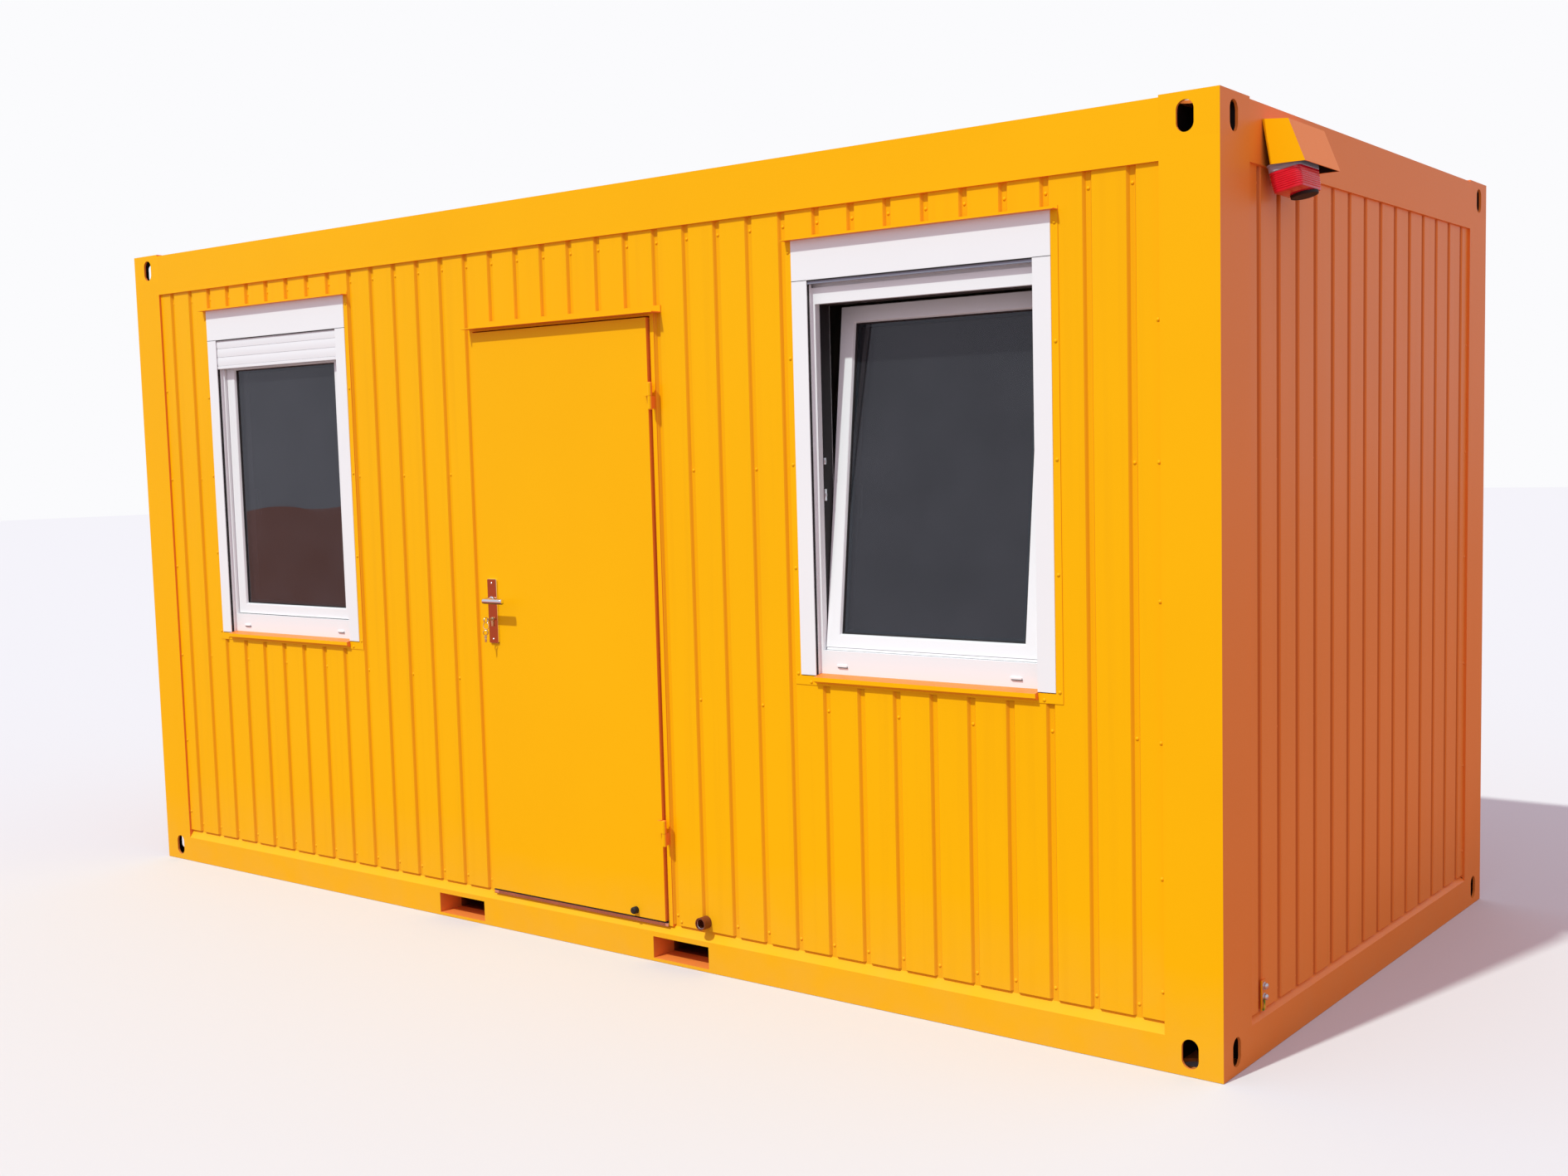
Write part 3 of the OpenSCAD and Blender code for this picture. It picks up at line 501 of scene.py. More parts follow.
def mitred(bm, low, high, section):
    """A strip round the rectangle low to high in X and Z. Its section is a closed loop of
    (inwards, y) pairs, measured from the rectangle's edge."""
    corners = []
    for sx, sz in ((0, 0), (1, 0), (1, 1), (0, 1)):
        corners.append([bm.verts.new((
            (high[0] - inwards) if sx else (low[0] + inwards), y,
            (high[1] - inwards) if sz else (low[1] + inwards))) for inwards, y in section])
    wrap(bm, corners + corners[:1], capped=False)


# %% From a mesh to a piece
def ride_along(name, mesh, body, smooth_deg):
    """Shades a finished mesh and makes it a piece that rides on body."""
    mesh.shade_smooth()
    mesh.set_sharp_from_angle(angle=math.radians(smooth_deg))
    made = bpy.data.objects.new(name, mesh)
    on_stage.link(made)
    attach(made, body)
    print(name, len(mesh.polygons), "faces")
    return made


def outward(name, bm):
    """Merges doubled points, points the faces outwards and returns the mesh."""
    bmesh.ops.remove_doubles(bm, verts=bm.verts, dist=1e-6)
    bmesh.ops.recalc_face_normals(bm, faces=bm.faces)
    mesh = bpy.data.meshes.new(name)
    bm.to_mesh(mesh)
    bm.free()
    return mesh


def piece(name, bm, finish_name, body="cabin", smooth_deg=20, turn=None):
    """Closes a mesh and makes it a piece with its finish, turned first if a turn is
    given."""
    mesh = outward(name, bm)
    if turn is not None:
        mesh.transform(turn)
    mesh.materials.append(finish[finish_name])
    return ride_along(name, mesh, body, smooth_deg)


# %% Main places, taken from the solid pieces
WALL_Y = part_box("front_wall_left")[0].y
GROOVE_DEPTH = 0.009
PITCH = 0.1317
RAIL_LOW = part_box("top_rails_long")[0].z
leaf_low, leaf_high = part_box("door_leaf")
frame_low, frame_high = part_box("door_frame")
print("wall face at y", round(WALL_Y, 4), "and door leaf from x", round(leaf_low.x, 3))

# %% [markdown]
# ## Rivets
# The wall sheets are held by painted blind rivets in the bottoms of the grooves,
# in even rows. They repeat by a rule, so Geometry Nodes places one low dome at
# each seat and turns it to face out of its wall. Only the seats are worked out
# in the script, from the same groove spacing as the walls.

# %% Opening and closing a tree
def open_tree(name, inputs, result):
    """A Geometry Nodes tree with named inputs and one result, and its inputs' sockets."""
    tree = bpy.data.node_groups.new(name, "GeometryNodeTree")
    for label, kind in inputs:
        tree.interface.new_socket(label, in_out="INPUT", socket_type="NodeSocket" + kind)
    tree.interface.new_socket(result, in_out="OUTPUT", socket_type="NodeSocketGeometry")
    return tree, add(tree, "NodeGroupInput").outputs


def close_tree(tree, copies, finish_socket):
    """Makes the copies real mesh, gives them their finish and ends the tree."""
    real = add(tree, "GeometryNodeRealizeInstances", {0: copies})
    coated = add(tree, "GeometryNodeSetMaterial", {"Geometry": real, "Material": finish_socket})
    add(tree, "NodeGroupOutput", {0: coated})


# %% A tree that sets heads on seats
head_tree, given = open_tree("heads_on_seats", (("Seats", "Geometry"), ("Head Radius", "Float"),
    ("Head Rise", "Float"), ("Finish", "Material")), "Heads")
ball = add(head_tree, "GeometryNodeMeshUVSphere", {"Segments": 12, "Rings": 6,
    "Radius": given["Head Radius"]})
flat = add(head_tree, "Math", {0: given["Head Rise"], 1: given["Head Radius"]}, operation="DIVIDE")
shape = add(head_tree, "CombineXYZ", {"X": 1.0, "Y": 1.0, "Z": flat})
dome = add(head_tree, "GeometryNodeTransform", {"Geometry": ball, "Scale": shape})
facing = add(head_tree, "GeometryNodeInputNamedAttribute", {"Name": "facing"}, data_type="FLOAT_VECTOR")
turn_out = add(head_tree, "FunctionNodeAlignRotationToVector", {"Vector": facing}, axis="Z")
put = add(head_tree, "GeometryNodeInstanceOnPoints", {"Points": given["Seats"],
    "Instance": dome, "Rotation": turn_out})
close_tree(head_tree, put, given["Finish"])


# %% Growing a piece
def grown(tree, name, start, finish_name, values):
    """Runs a Geometry Nodes tree on a start mesh and keeps the result as a plain piece."""
    values = {"Finish": finish[finish_name], **values}
    carrier = bpy.data.objects.new(name + "_start", start)
    on_stage.link(carrier)
    modifier = carrier.modifiers.new("grow", "NODES")
    modifier.node_group = tree
    for item in tree.interface.items_tree:
        if item.item_type == "SOCKET" and item.in_out == "INPUT" and item.name in values:
            modifier[item.identifier] = values[item.name]
    result = carrier.evaluated_get(bpy.context.evaluated_depsgraph_get())
    mesh = bpy.data.meshes.new_from_object(result)
    carrier.modifiers.clear()
    bpy.data.objects.remove(carrier)
    mesh.name = name
    return ride_along(name, mesh, "cabin", 40)


def seats(name, places):
    """A mesh of loose points, each with the way that it faces."""
    mesh = bpy.data.meshes.new(name)
    mesh.from_pydata([p for p, way in places], [], [])
    facing_way = mesh.attributes.new("facing", "FLOAT_VECTOR", "POINT")
    for i, (p, way) in enumerate(places):
        facing_way.data[i].vector = way
    return mesh


# %% Seats in the long walls
box_left, box_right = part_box("window_left_shutter"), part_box("window_right_shutter")
left_mid, right_mid = ((low.x + high.x) / 2 for low, high in (box_left, box_right))
WINDOWS = (("left", left_mid), ("right", right_mid))
HALF_WINDOW = (box_left[1].x - box_left[0].x) / 2
BED = WALL_Y + GROOVE_DEPTH
ROWS = (1.647, 0.903)
MARGIN_ROWS = (2.019, 1.647, 1.278, 0.898, 0.528, 0.217)
TOP_ROW, FOOT_ROW, END_FOOT_ROW = 2.380, 0.168, 0.155
MARGIN_X, MARGIN_Y = 2.315, 0.920


def by_window(x):
    """Whether a seat at x would fall behind a window."""
    return min(abs(x - left_mid), abs(x - right_mid)) < HALF_WINDOW + 0.03


front, back = [], []
for n in range(35):
    x = (n - 17) * PITCH
    over_door = frame_low.x < x < frame_high.x
    front.append((x, BED, TOP_ROW))
    back += [(x, -BED, z) for z in (TOP_ROW, FOOT_ROW)]
    if not over_door:
        front.append((x, BED, FOOT_ROW))
    if n % 2 == (1 if x < 0 else 0):
        back += [(x, -BED, z) for z in ROWS]
        if not over_door:
            front += [(x, BED, z) for z in ROWS if not (z > 1 and by_window(x))]
for side in (-1, 1):
    for z in MARGIN_ROWS:
        front.append((side * MARGIN_X, WALL_Y, z))
        back.append((side * MARGIN_X, -WALL_Y, z))
front.append((0.550, WALL_Y, 0.150))  # one at the foot beside the door
print(len(front), "rivets in front,", len(back), "at the back")

# %% Seats in the ends and round the windows
end_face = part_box("right_end_wall")[1].x
end_bed = end_face - GROOVE_DEPTH
FLASHING_ROWS = (1.015, 1.342, 1.659, 1.981, 2.300)
FLASHING_Y, FLASHING_OUT = WALL_Y - 0.002, 0.0125
SILL_X, SILL_Z = 0.414, 0.991
ends, strips = [], []
for side in (-1, 1):
    way = (side, 0, 0)
    for n in range(14):
        rows = (TOP_ROW, END_FOOT_ROW) + (ROWS if n % 2 else ())
        ends += [((side * end_bed, (n - 6.5) * PITCH, z), way) for z in rows]
    for z in MARGIN_ROWS:
        ends += [((side * end_face, edge * MARGIN_Y, z), way) for edge in (-1, 1)]
for name, mid in WINDOWS:
    for edge in (-1, 1):
        x = mid + edge * (HALF_WINDOW + FLASHING_OUT)
        strips += [(x, FLASHING_Y, z) for z in FLASHING_ROWS]
    strips += [(mid + s * SILL_X, FLASHING_Y, SILL_Z) for s in (-1, 1)]
to_front, to_back = (0, -1, 0), (0, 1, 0)
everything = seats("rivet_seats", [(p, to_front) for p in front] + [(p, to_back) for p in back] + ends
    + [(p, to_front) for p in strips])
grown(head_tree, "wall_rivets", everything, "sprayed_enamel", {"Head Radius": 0.0056, "Head Rise": 0.0034})

# %% [markdown]
# ## Windows
# A tilting plastic window is a frame, a sash that drops in at the top, and a
# sealed pane in the sash. Up close the eye reads the joints: the sloping glazing
# bead, the black gasket, the metal spacer inside the pane's edge and the caps
# over the drain slots. Bead, gaskets and spacer are mitred strips round the pane.

# %% Strips round the pane
pane_low, pane_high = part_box("window_left_glass")
SASH_Y = WALL_Y + 0.032
PIVOT = Vector((0, WALL_Y + 0.0923, 1.077))
tilt = shift(PIVOT) @ spin(-6.5, "X") @ shift(-PIVOT)
SEEN = 0.3825  # half the frame's clear width
GUIDE = 0.058
FRAME_FOOT = 1.0890
FRAME_HEAD = 2.1410
BOX_FOOT = 2.2118
surface("teal_spacer", "#35525A", 0.45, metallic=0.5, drift=0.06, drift_mm=50)
LEAN = {"left": None, "right": tilt}
OVERLAP = 0.0003
STRIPS = (
    ("glazing_bead", "extruded_pvc", None,
        [(0, 0.0008), (0.0015, 0.0008), (0.0055, 0.0090), (0.0055, 0.0115), (0, 0.0115)]),
    ("glazing_gasket", "epdm_rubber", None,
        [(0.0055, 0.0075), (0.0085, 0.0085), (0.0098, 0.0118), (0.0055, 0.0118)]),
    ("pane_spacer", "teal_spacer", "satin_metal",
        [(0.0105, 0.0165), (0.0185, 0.0165), (0.0185, 0.0310), (0.0105, 0.0310)]),
    ("inner_gasket", "epdm_rubber", None,
        [(0, 0.0363), (0.0060, 0.0363), (0.0040, 0.0400), (0, 0.0400)]))
for name, mid in WINDOWS:
    low = (pane_low.x - left_mid + mid - OVERLAP, pane_low.z - OVERLAP)
    high = (pane_high.x - left_mid + mid + OVERLAP, pane_high.z + OVERLAP)
    for strip, finish_name, slot, section in STRIPS:
        bm = bmesh.new()
        mitred(bm, low, high, [(inwards, SASH_Y + y) for inwards, y in section])
        piece(name + "_" + strip, bm, finish_name, turn=LEAN[name])

# %% Brushes in the guides and the seal of the tilted sash, both also painted shade, and its weather bar
for name, mid in WINDOWS:
    guide_in = HALF_WINDOW - GUIDE
    curtain_low, box_low = (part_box("window_%s_%s" % (name, part))[0] for part in ("curtain", "shutter"))
    # Black brush seals fill both guide slots and the slot under the box; they also stand for the deep shade
    # there, as painted shade.
    bm = bmesh.new()
    for s in (-1, 1):
        block(bm, (mid + s * (guide_in + 0.0010), WALL_Y - 0.0008, box_low.z + 0.001),
            (mid + s * (guide_in + 0.0130), WALL_Y + 0.0110, curtain_low.z - 0.001))
    block(bm, (mid - guide_in, box_low.y + 0.0008, BOX_FOOT - 0.0034),
        (mid + guide_in, curtain_low.y - 0.0003, BOX_FOOT))
    piece(name + "_guide_brushes_and_shade", bm, "epdm_rubber")
# A black strip lines the right frame's reveal from 43 to 90 mm deep: a rebate seal, and painted shade in the
# reveal behind the tilted sash.
bm = bmesh.new()
mitred(bm, (right_mid - SEEN, FRAME_FOOT), (right_mid + SEEN, FRAME_HEAD), [(-0.0002, WALL_Y + 0.043),
    (0.0008, WALL_Y + 0.043), (0.0008, WALL_Y + 0.090), (-0.0002, WALL_Y + 0.090)])
piece("right_rebate_seal_and_shade", bm, "epdm_rubber")
edge = tilt @ Vector((0, SASH_Y, FRAME_FOOT + 0.003))
bm = bmesh.new()
block(bm, (right_mid - SEEN + 0.004, edge.y + 0.0010, FRAME_FOOT + 0.0010),
    (right_mid + SEEN - 0.004, edge.y + 0.0150, edge.z - 0.0012), soften=0.0006)
piece("right_weather_bar", bm, "extruded_pvc")

# %% Drain caps, the painted shadow strips beside them and the dark joint line under the shutter box
DRAIN_X, DRAIN_Z = 0.310, 1.0395
for name, mid in WINDOWS:
    caps, shadow_and_joint_lines = bmesh.new(), bmesh.new()
    box_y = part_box("window_%s_shutter" % name)[0].y
    for s in (-1, 1):
        x = mid + s * DRAIN_X
        block(caps, (x - 0.019, WALL_Y + 0.0170, DRAIN_Z), (x + 0.019, WALL_Y + 0.0212, DRAIN_Z + 0.0070),
            soften=0.0012)
        block(shadow_and_joint_lines, (mid + s * (HALF_WINDOW - GUIDE + 0.0005), box_y - 0.0004, 2.2108),
            (mid + s * (HALF_WINDOW + 0.0002), box_y + 0.002, 2.2124))
        # A dark strip peeking out below and beside each cap is its painted shadow.
        block(shadow_and_joint_lines, (x - 0.014, WALL_Y + 0.0165, DRAIN_Z - 0.0013),
            (x + 0.021, WALL_Y + 0.0211, DRAIN_Z + 0.0005))
    piece(name + "_drain_caps", caps, "extruded_pvc")
    piece(name + "_shutter_joints", shadow_and_joint_lines, "drip_shadow_gap")

# %% [markdown]
# ## Shutter curtain
# A roller shutter is one slat hooked into the next. Each slat is a shallow
# curved strip with a narrow neck below it, which shows as a fine grey line. The
# slats repeat upwards, so a tree stacks them. Three are down on the left, and on
# the right only the end rail shows.

# %% One slat, and a tree that stacks it
stack_tree, given = open_tree("stacked_slats", (("Slat", "Geometry"), ("Slats", "Int"),
    ("Pitch", "Float"), ("Finish", "Material")), "Curtain")
upward = add(stack_tree, "CombineXYZ", {"Z": given["Pitch"]})
column = add(stack_tree, "GeometryNodeMeshLine", {"Count": given["Slats"], "Offset": upward})
stacked = add(stack_tree, "GeometryNodeInstanceOnPoints", {"Points": column, "Instance": given["Slat"]})
close_tree(stack_tree, stacked, given["Finish"])


def strip_mesh(name, x0, x1, section):
    """A closed section of (y, z) pairs, drawn out from x0 to x1."""
    bm = bmesh.new()
    wrap(bm, [[bm.verts.new((x, y, z)) for y, z in section] for x in (x0, x1)])
    return outward(name, bm)


# %% Both curtains
SLAT = 0.035
for name, slats in (("left", 3), ("right", 0)):
    low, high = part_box("window_%s_curtain" % name)
    y0, y1 = low.y, high.y
    rail_top = low.z + 0.012
    bulge = [(y0 + 0.0009 * (1 - math.sin(math.pi * t)), rail_top + 0.0012 + t * (SLAT - 0.0016))
        for t in (i / 8 for i in range(9))]
    section = [(y0 + 0.0030, rail_top)] + bulge + [(y1, rail_top + SLAT - 0.0004), (y1, rail_top)]
    if slats:
        slat = strip_mesh(name + "_slat", low.x, high.x, section)
        curtain = grown(stack_tree, name + "_curtain_slats", slat, "coated_slats",
            {"Slats": slats, "Pitch": SLAT})
        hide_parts("window_%s_curtain" % name)
    bm = bmesh.new()
    block(bm, (low.x, y0, low.z), (high.x, y1, rail_top - 0.0002), soften=0.0012)
    # Alone on the right, the end rail takes the darker grey as painted shade under the box.
    rail_finish = "coated_slats" if slats else "shade_grey_rail"
    rail = piece(name + "_curtain_end_rail", bm, rail_finish)
    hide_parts("window_%s_curtain" % name)

# %% Striker plates in the tilted window's frame, and the stay that holds it
jamb = right_mid - SEEN
bm = bmesh.new()
for z, tall in ((1.668, 0.020), (1.565, 0.036)):
    for x0, x1, y0, y1, half in ((0, 0.0035, 0.044, 0.054, tall / 2), (0.0030, 0.0065, 0.046, 0.051, 0.005)):
        block(bm, (jamb + x0, WALL_Y + y0, z - half), (jamb + x1, WALL_Y + y1, z + half), soften=0.0008)
piece("right_striker_plates", bm, "zinc_plated")
sash_top = tilt @ Vector((0, SASH_Y + 0.060, 2.1365))
bm = bmesh.new()
x = right_mid + SEEN - 0.010
rod(bm, [(x, WALL_Y + 0.070, 2.1385), (x, WALL_Y + 0.105, 2.1365), (x, sash_top.y, sash_top.z + 0.002)],
    0.005, steps=8, flat=0.35)
piece("right_tilt_stay", bm, "zinc_plated", smooth_deg=50)

# %% Inside handles of both sashes
for name, mid in WINDOWS:
    bm = bmesh.new()
    x, y, z = mid - 0.356, SASH_Y + 0.080, 1.600
    block(bm, (x - 0.014, y, z - 0.035), (x + 0.014, y + 0.009, z + 0.035), soften=0.003)
    rod(bm, [(x, y + 0.006, z), (x, y + 0.030, z), (x, y + 0.036, z - 0.006), (x, y + 0.038, z - 0.020),
        (x, y + 0.038, z - 0.105)], 0.008, steps=12, flat=0.7)
    piece(name + "_sash_handle", bm, "extruded_pvc", smooth_deg=50, turn=LEAN[name])

# %% [markdown]
# ## Door
# The leaf is one flat pan of painted steel. What gives it away as a door is the
# black seal behind its edge, the hinges, and the lock side: a long chrome plate,
# a bent lever, and the keys left in the cylinder.

# %% Seal and lock faceplate
bm = bmesh.new()
stop_y = leaf_high.y + 0.006
mitred(bm, (leaf_low.x + 0.012, 0.1500), (leaf_high.x - 0.012, leaf_high.z - 0.012),
    [(-0.0095, stop_y - 0.0002), (-0.0095, stop_y - 0.0030), (-0.0060, stop_y - 0.0045),
     (-0.0010, stop_y - 0.0030), (-0.0010, stop_y - 0.0002)])
piece("door_seal", bm, "epdm_rubber", smooth_deg=60)
bm = bmesh.new()
block(bm, (leaf_low.x - 0.0012, leaf_low.y + 0.014, 1.040),
    (leaf_low.x + 0.001, leaf_low.y + 0.036, 1.275), soften=0.0004)
block(bm, (leaf_low.x - 0.0045, leaf_low.y + 0.018, 1.190),
    (leaf_low.x, leaf_low.y + 0.032, 1.222), soften=0.0015)
piece("lock_faceplate", bm, "brushed_stainless", body="door")

# %% Handle plates with round corners
plate_low, plate_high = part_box("handle_plates")
lever_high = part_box("door_lever")[1]
LEVER_X = (plate_low.x + plate_high.x) / 2
LEVER_Z = plate_high.z - 0.0745
OUT_Y = leaf_low.y
IN_Y = leaf_high.y
THICK = OUT_Y - plate_low.y
plate_z = (plate_low.z + plate_high.z) / 2
plate_half = (plate_high.z - plate_low.z) / 2


def rounded_plate(bm, half_w, half_h, corner, y_back, y_face, soften):
    """An upright plate behind the lever, round at the corners and eased at the face."""
    way = 1 if y_face > y_back else -1
    levels = ((0, y_back), (0, y_face - way * soften), (soften * 0.3, y_face - way * soften * 0.3),
        (soften, y_face))
    wrap(bm, [[bm.verts.new((LEVER_X + a, y, plate_z + b))
        for a, b in rounded(half_w, half_h, corner, inset, 7)] for inset, y in levels])


bm = bmesh.new()
for back_y, face_y in ((OUT_Y, OUT_Y - THICK), (IN_Y, IN_Y + THICK)):
    rounded_plate(bm, 0.0225, plate_half, 0.004, back_y, face_y, 0.0022)
plates = piece("door_handle_plates", bm, "satin_chrome_plate", body="door")
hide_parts("handle_plates")
bm = bmesh.new()
for back_y, face_y in ((OUT_Y, OUT_Y - THICK + 0.0020), (IN_Y, IN_Y + THICK - 0.0020)):
    rounded_plate(bm, 0.0229, plate_half + 0.0004, 0.0044, back_y, face_y, 0.0004)
piece("handle_plate_rims", bm, "polished_chrome", body="door")

# %% Plate screws, hinge caps and the lever's roses
turn_front, turn_back, turn_right = spin(90, "X"), spin(-90, "X"), spin(90, "Y")
bm = bmesh.new()
for z in (plate_high.z - 0.014, plate_low.z + 0.014):
    for y, way in ((OUT_Y - THICK + 0.0006, turn_front), (IN_Y + THICK - 0.0006, turn_back)):
        turned(bm, [(0, 0), (0.0042, 0), (0.0042, 0.0006), (0.0034, 0.0013), (0.0012, 0.0014), (0, 0.0008)],
            shift((LEVER_X, y, z)) @ way, steps=16)
piece("handle_plate_screws", bm, "polished_chrome", body="door")
HINGE_X, HINGE_Y = 0.509, leaf_low.y - 0.014
HINGE_MIDS = (0.449, 1.891)
HINGE_HALF = 0.0415
cap = [(0, -0.0004), (0.0080, -0.0004), (0.0080, 0.0004), (0.0070, 0.0022), (0.0040, 0.0034), (0, 0.0038)]
for name, body, turn, way in (("hinge_caps_top", "door", Matrix.Identity(4), 1),
        ("hinge_caps_foot", "cabin", spin(180, "X"), -1)):
    bm = bmesh.new()
    for mid_z in HINGE_MIDS:
        at = shift((HINGE_X, HINGE_Y, mid_z + way * HINGE_HALF))
        turned(bm, cap, at @ turn, steps=20)
    piece(name, bm, "sprayed_enamel", body=body)

# %% The bent lever, inside and outside
REACH = 0.0520
BEND = 0.014
BAR = 0.0098
bm = bmesh.new()
for leaf_y, way, turn in ((OUT_Y, -1, turn_front), (IN_Y, 1, turn_back)):
    out = leaf_y + way * REACH
    y_plate = leaf_y + way * THICK
    path = [(LEVER_X, y_plate - way * 0.004, LEVER_Z), (LEVER_X, out - way * BEND, LEVER_Z)]
    for k in range(1, 6):
        a = math.radians(18 * k)
        path.append((LEVER_X + BEND * (1 - math.cos(a)), out - way * BEND * (1 - math.sin(a)), LEVER_Z))
    path.append((lever_high.x + 0.004, out, LEVER_Z))
    rod(bm, path, BAR, steps=20)
    turned(bm, [(0, 0), (BAR, 0), (0.0091, 0.0022), (0.0062, 0.0036), (0, 0.0040)],
        shift((lever_high.x + 0.0038, out, LEVER_Z)) @ turn_right, steps=20)
    turned(bm, [(BAR, 0), (0.0136, 0.0003), (0.0136, 0.0030), (0.0122, 0.0045), (BAR, 0.0050)],
        shift((LEVER_X, y_plate + way * 0.0002, LEVER_Z)) @ turn, steps=24)
rod(bm, [(LEVER_X, OUT_Y - 0.004, LEVER_Z), (LEVER_X, IN_Y + 0.004, LEVER_Z)], 0.004, steps=8)
lever = piece("bent_door_lever", bm, "polished_chrome", body="lever", smooth_deg=50)
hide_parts("door_lever")

# %% Lock cylinder
face_y = OUT_Y - THICK
lock_z = LEVER_Z - 0.069
bm = bmesh.new()
turned(bm, [(0, -0.001), (0.0085, -0.001), (0.0085, 0.0042), (0.0078, 0.0050), (0, 0.0050)],
    shift((LEVER_X, face_y, lock_z)) @ turn_front, steps=24)
block(bm, (LEVER_X - 0.005, face_y - 0.0042, lock_z - 0.0245),
    (LEVER_X + 0.005, face_y + 0.001, lock_z - 0.006), soften=0.0015)
cylinder = piece("lock_cylinder", bm, "nickel_brass", body="door")
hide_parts("lock_and_key")


# %% Both keys and their ring
def circle(centre, radius, across, up, count=28):
    """Points round a circle that lies along two directions."""
    centre, across, up = Vector(centre), Vector(across), Vector(up)
    return [centre + across * radius * math.cos(a) + up * radius * math.sin(a)
        for a in (2 * math.pi * k / count for k in range(count))]


def key(bm, bow, across, along, thin):
    """A key from the middle of its bow: a flattened ring, a shoulder, a blade and its teeth."""
    bow, across, along, thin = Vector(bow), Vector(across), Vector(along), Vector(thin)
    rod(bm, circle(bow, 0.0088, across, along), 0.0030, steps=10, closed=True, flat=0.42)
    turn = Matrix((across, along, thin)).transposed().to_4x4()
    turn.translation = bow
    block(bm, (-0.0050, 0.0105, -0.0011), (0.0050, 0.0180, 0.0011), soften=0.0006, turn=turn)
    block(bm, (-0.0038, 0.0170, -0.0009), (0.0022, 0.0340, 0.0009), soften=0.0004, turn=turn)
    for k in range(5):
        at = 0.0185 + 0.0032 * k
        block(bm, (0.0012, at, -0.0009), (0.0026 + 0.0011 * (k * 7 % 3), at + 0.0022, 0.0009), turn=turn)


bm = bmesh.new()
bow_y = face_y - 0.0320
key(bm, (LEVER_X, bow_y, lock_z), (0, 0, -1), (0, 1, 0), (1, 0, 0))
key(bm, (LEVER_X - 0.004, bow_y, lock_z - 0.0450), (0.92, 0.39, 0), (0, 0, -1), (0.39, -0.92, 0))
piece("door_keys", bm, "nickel_brass", body="door", smooth_deg=50)
bm = bmesh.new()
rod(bm, circle((LEVER_X, bow_y, lock_z - 0.0210), 0.0125, (1, 0.15, 0), (0, 0, 1)), 0.0010, steps=8,
    closed=True)
piece("key_ring", bm, "polished_chrome", body="door", smooth_deg=50)

# %% Ring and clips in the door catch, set back so that the peg has room
cup_low, cup_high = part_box("door_catch")
peg_low, peg_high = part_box("door_peg")
cup = Vector(((cup_low.x + cup_high.x) / 2, cup_low.y, (cup_low.z + cup_high.z) / 2))
CLIP_OUT = 0.0160
clip_in = (peg_high.x - peg_low.x) / 2 + 0.0022
bm = bmesh.new()
rod(bm, circle(cup + Vector((0, 0.005, 0)), CLIP_OUT, (1, 0, 0), (0, 0, 1)), 0.0012, steps=8, closed=True)
for a in (200, 250, 340, 70):
    edge = Vector((math.cos(math.radians(a)), 0, math.sin(math.radians(a))))
    rod(bm, [cup + edge * reach_out + Vector((0, depth, 0))
        for reach_out, depth in ((CLIP_OUT, 0.004), (clip_in, 0.012), (CLIP_OUT, 0.024))],
        0.0016, steps=8, flat=0.35)
piece("catch_spring", bm, "polished_chrome", smooth_deg=50)

# %% Treads, seal and end caps of the threshold
step_low, step_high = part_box("door_threshold")
bm = bmesh.new()
for k in range(5):
    y = step_low.y + 0.012 + 0.008 * k
    block(bm, (step_low.x + 0.010, y, step_high.z - 0.0004),
        (step_high.x - 0.010, y + 0.003, step_high.z + 0.0012), soften=0.0005)
piece("threshold_treads", bm, "brushed_stainless")
bm = bmesh.new()
block(bm, (step_low.x + 0.002, leaf_low.y + 0.001, step_high.z - 0.0005),
    (step_high.x - 0.002, leaf_low.y + 0.009, step_high.z + 0.0022))
piece("threshold_seal", bm, "epdm_rubber")
bm = bmesh.new()
for x0, x1 in ((step_low.x + 0.0005, step_low.x + 0.020), (step_high.x - 0.014, step_high.x - 0.0005)):
    block(bm, (x0, step_low.y - 0.0006, step_high.z - 0.0125),
        (x1, step_low.y + 0.003, step_high.z - 0.0005), soften=0.001)
piece("threshold_end_caps", bm, "polished_chrome")

# %% [markdown]
# ## Alarm lamp and earthing point
# Under a folded hood on the end wall hangs a red flashing lamp on a pale base.
# Its moulded lens has fine rings that break up the light. The earthing point is
# a painted lug with two zinc bolts and a short bonding wire.

# %% Lamp base
hood_low, hood_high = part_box("alarm_hood")
lens_low, lens_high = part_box("alarm_lens")
lamp_y = (lens_low.y + lens_high.y) / 2
rail_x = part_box("top_rails_ends")[1].x
lamp_at = Vector((rail_x + 0.050, lamp_y, RAIL_LOW + 0.008))
hang = shift(lamp_at - Vector((0, 0.028, 0))) @ spin(-11, "Y") @ spin(180, "X")


def lozenge(bm, levels):
    """Stacks rounded rectangles, each given as (inset, height), into one closed body."""
    wrap(bm, [[bm.verts.new(hang @ Vector((a, b, height)))
        for a, b in rounded(0.046, 0.075, 0.016, inset, 9)] for inset, height in levels])


bm = bmesh.new()
lozenge(bm, [(0.002, 0), (-0.002, 0.001), (-0.002, 0.005), (0.0, 0.0065), (0.0, 0.0205), (0.002, 0.0222)])
for out, top in ((0.040, 0.011), (0.003, 0.048)):
    block(bm, (rail_x, lamp_y - 0.030, RAIL_LOW + 0.005), (rail_x + out, lamp_y + 0.030, RAIL_LOW + top),
        soften=0.001)
lamp_base = piece("alarm_lamp_base", bm, "grey_lamp_plastic")
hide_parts("alarm_body")

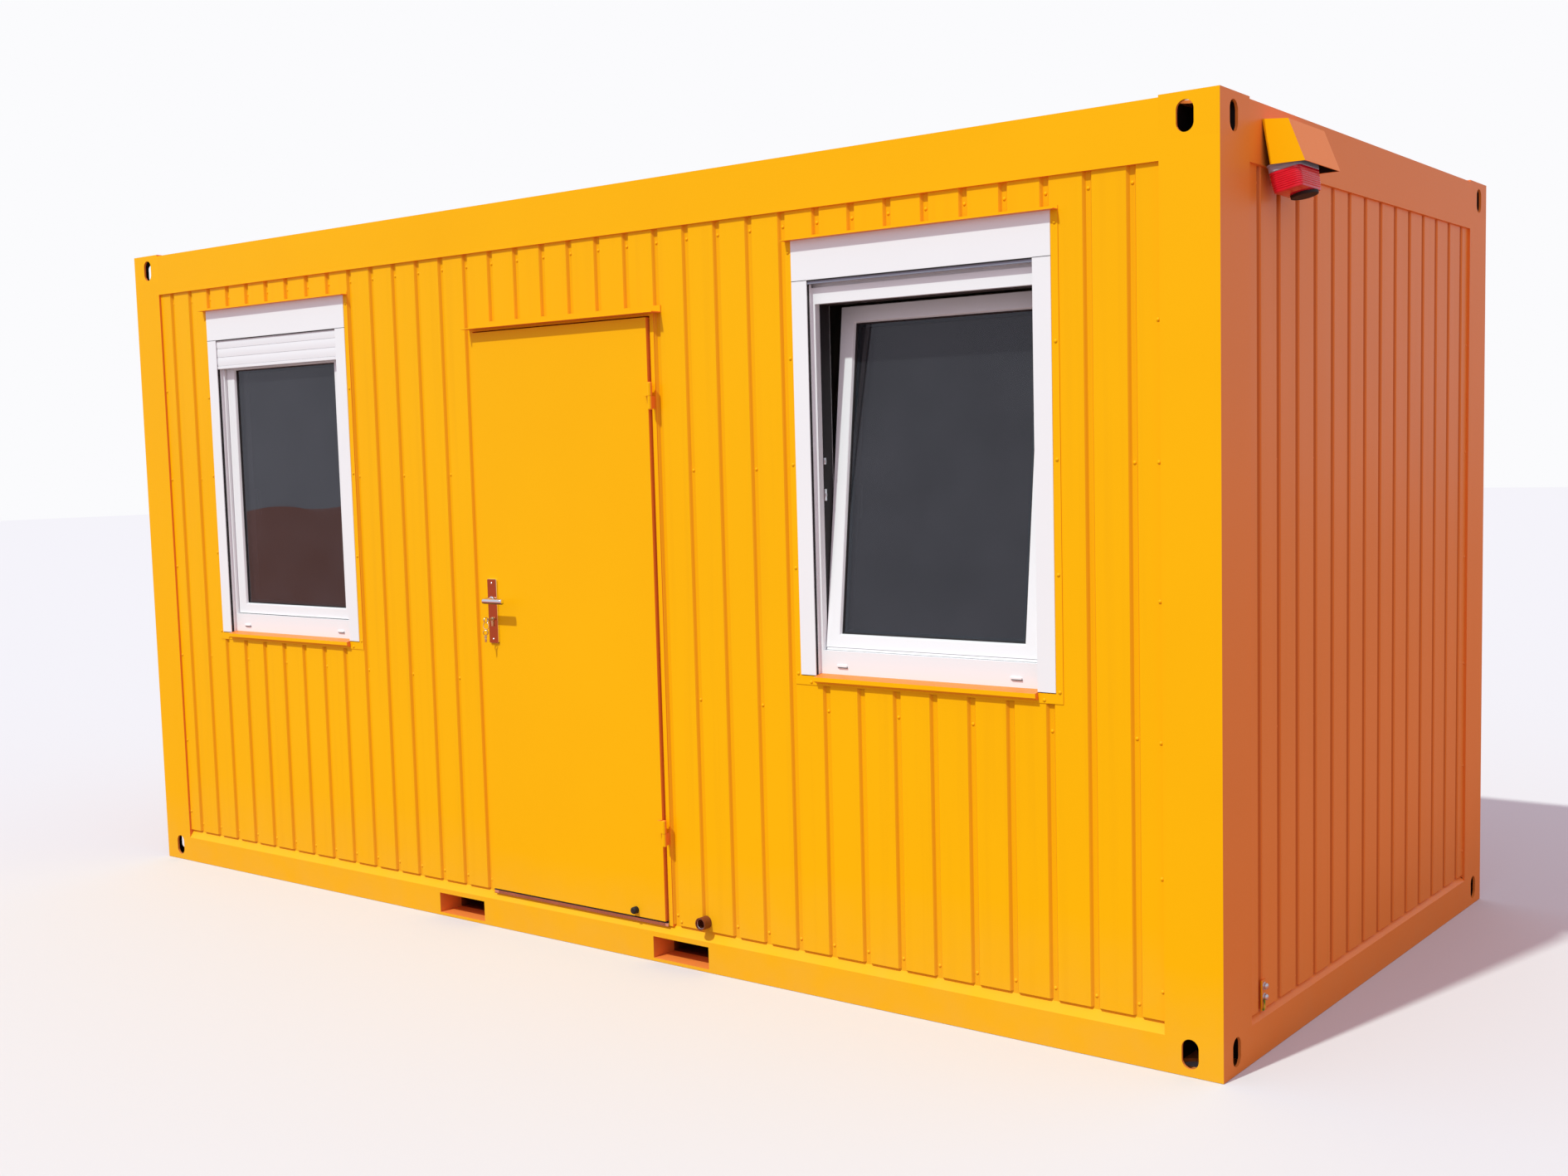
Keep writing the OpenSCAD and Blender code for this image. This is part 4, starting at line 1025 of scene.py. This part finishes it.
# %% Lens and its ring
levels = [(0.001, 0.0224), (0.001, 0.0285)]
for k in range(8):
    h = 0.0300 + 0.0056 * k
    inset = 0.0015 + 0.0040 * (k / 8) ** 2
    levels += [(inset + 0.0012, h), (inset, h + 0.0016), (inset, h + 0.0038)]
levels += [(0.0062, 0.0765), (0.0120, 0.0780)]
bm = bmesh.new()
lozenge(bm, levels)
lens = piece("ringed_red_lens", bm, "red_polycarbonate", smooth_deg=25)
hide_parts("alarm_lens")
bm = bmesh.new()
turned(bm, [(0, 0.0770), (0.0370, 0.0770), (0.0378, 0.0778), (0.0372, 0.0850), (0.0340, 0.0862), (0, 0.0864)],
    hang @ shift((0.004, -0.034, 0)), steps=40)
piece("lens_ring", bm, "epdm_rubber")


def plate_xz(bm, outline, y0, y1):
    """An outline of (x, z) points drawn out from y0 to y1."""
    wrap(bm, [[bm.verts.new((x, y, z)) for x, z in outline] for y in (y0, y1)])


# %% Dark lining under the hood, as painted shade
# A black sheet a millimetre thick stands for the shade inside the hood, as painted
# shade. It lies on the hood's inner faces: the sloping front, both sides and the roof.
inner = 0.0029
roof_z, foot_z = hood_high.z - 0.0028, hood_low.z + 0.0008
x_top, x_foot = rail_x + 0.073 - inner, rail_x + 0.119 - inner
bm = bmesh.new()
plate_xz(bm, [(x_top, roof_z - 0.0085), (x_foot, foot_z), (x_foot - 0.001, foot_z),
    (x_top - 0.001, roof_z - 0.0085)], hood_low.y + inner, hood_high.y - inner)
for y in (hood_low.y + 0.0028, hood_high.y - 0.0038):
    plate_xz(bm, [(rail_x + 0.0003, roof_z - 0.0009), (x_top - 0.001, roof_z - 0.0088),
        (x_foot - 0.001, foot_z), (rail_x + 0.023, foot_z)], y, y + 0.0010)
plate_xz(bm, [(rail_x + 0.0003, roof_z - 0.0004), (x_top, roof_z - 0.0084), (x_top, roof_z - 0.0094),
    (rail_x + 0.0003, roof_z - 0.0014)], hood_low.y + inner, hood_high.y - inner)
piece("hood_inner_shade", bm, "epdm_rubber")
bm = bmesh.new()
for y in (hood_low.y + 0.030, hood_high.y - 0.030):
    turned(bm, [(0, 0), (0.0045, 0), (0.0040, 0.0018), (0, 0.0026)],
        shift((rail_x + 0.012, y, hood_high.z - 0.0014)), steps=12)
piece("hood_screws", bm, "sprayed_enamel")

# %% Earthing lug, bolts and bonding wire
lug_low, lug_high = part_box("earth_lug")
lug_y = (lug_low.y + lug_high.y) / 2
bm = bmesh.new()
block(bm, (lug_low.x, lug_y - 0.015, lug_low.z), (lug_low.x + 0.005, lug_y + 0.015, lug_high.z),
    soften=0.0015)
strip = piece("earthing_lug", bm, "sprayed_enamel")
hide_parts("earth_lug")
low_z, high_z = (lug_low.z + share * (lug_high.z - lug_low.z) for share in (0.44, 0.8))
bm = bmesh.new()
for z in (low_z, high_z):
    at = shift((lug_low.x + 0.005, lug_y, z)) @ turn_right
    turned(bm, [(0, 0), (0.0110, 0), (0.0112, 0.0008), (0.0106, 0.0016), (0, 0.0017)], at, steps=24)
    turned(bm, [(0, 0.0014), (0.0088, 0.0014), (0.0088, 0.0066), (0.0076, 0.0092), (0.0050, 0.0112),
        (0.0022, 0.0121), (0, 0.0123)], at, steps=24)
piece("earthing_bolts", bm, "zinc_plated", smooth_deg=40)
wire_x = lug_low.x + 0.0090
bm = bmesh.new()
rod(bm, [(wire_x, lug_y - 0.009, low_z - 0.006), (wire_x, lug_y - 0.009, low_z - 0.018),
    (wire_x, lug_y - 0.010, low_z - 0.030), (wire_x - 0.003, lug_y - 0.012, lug_low.z + 0.002)],
    0.0026, steps=10)
piece("bonding_wire", bm, "green_yellow_sheath", smooth_deg=50)
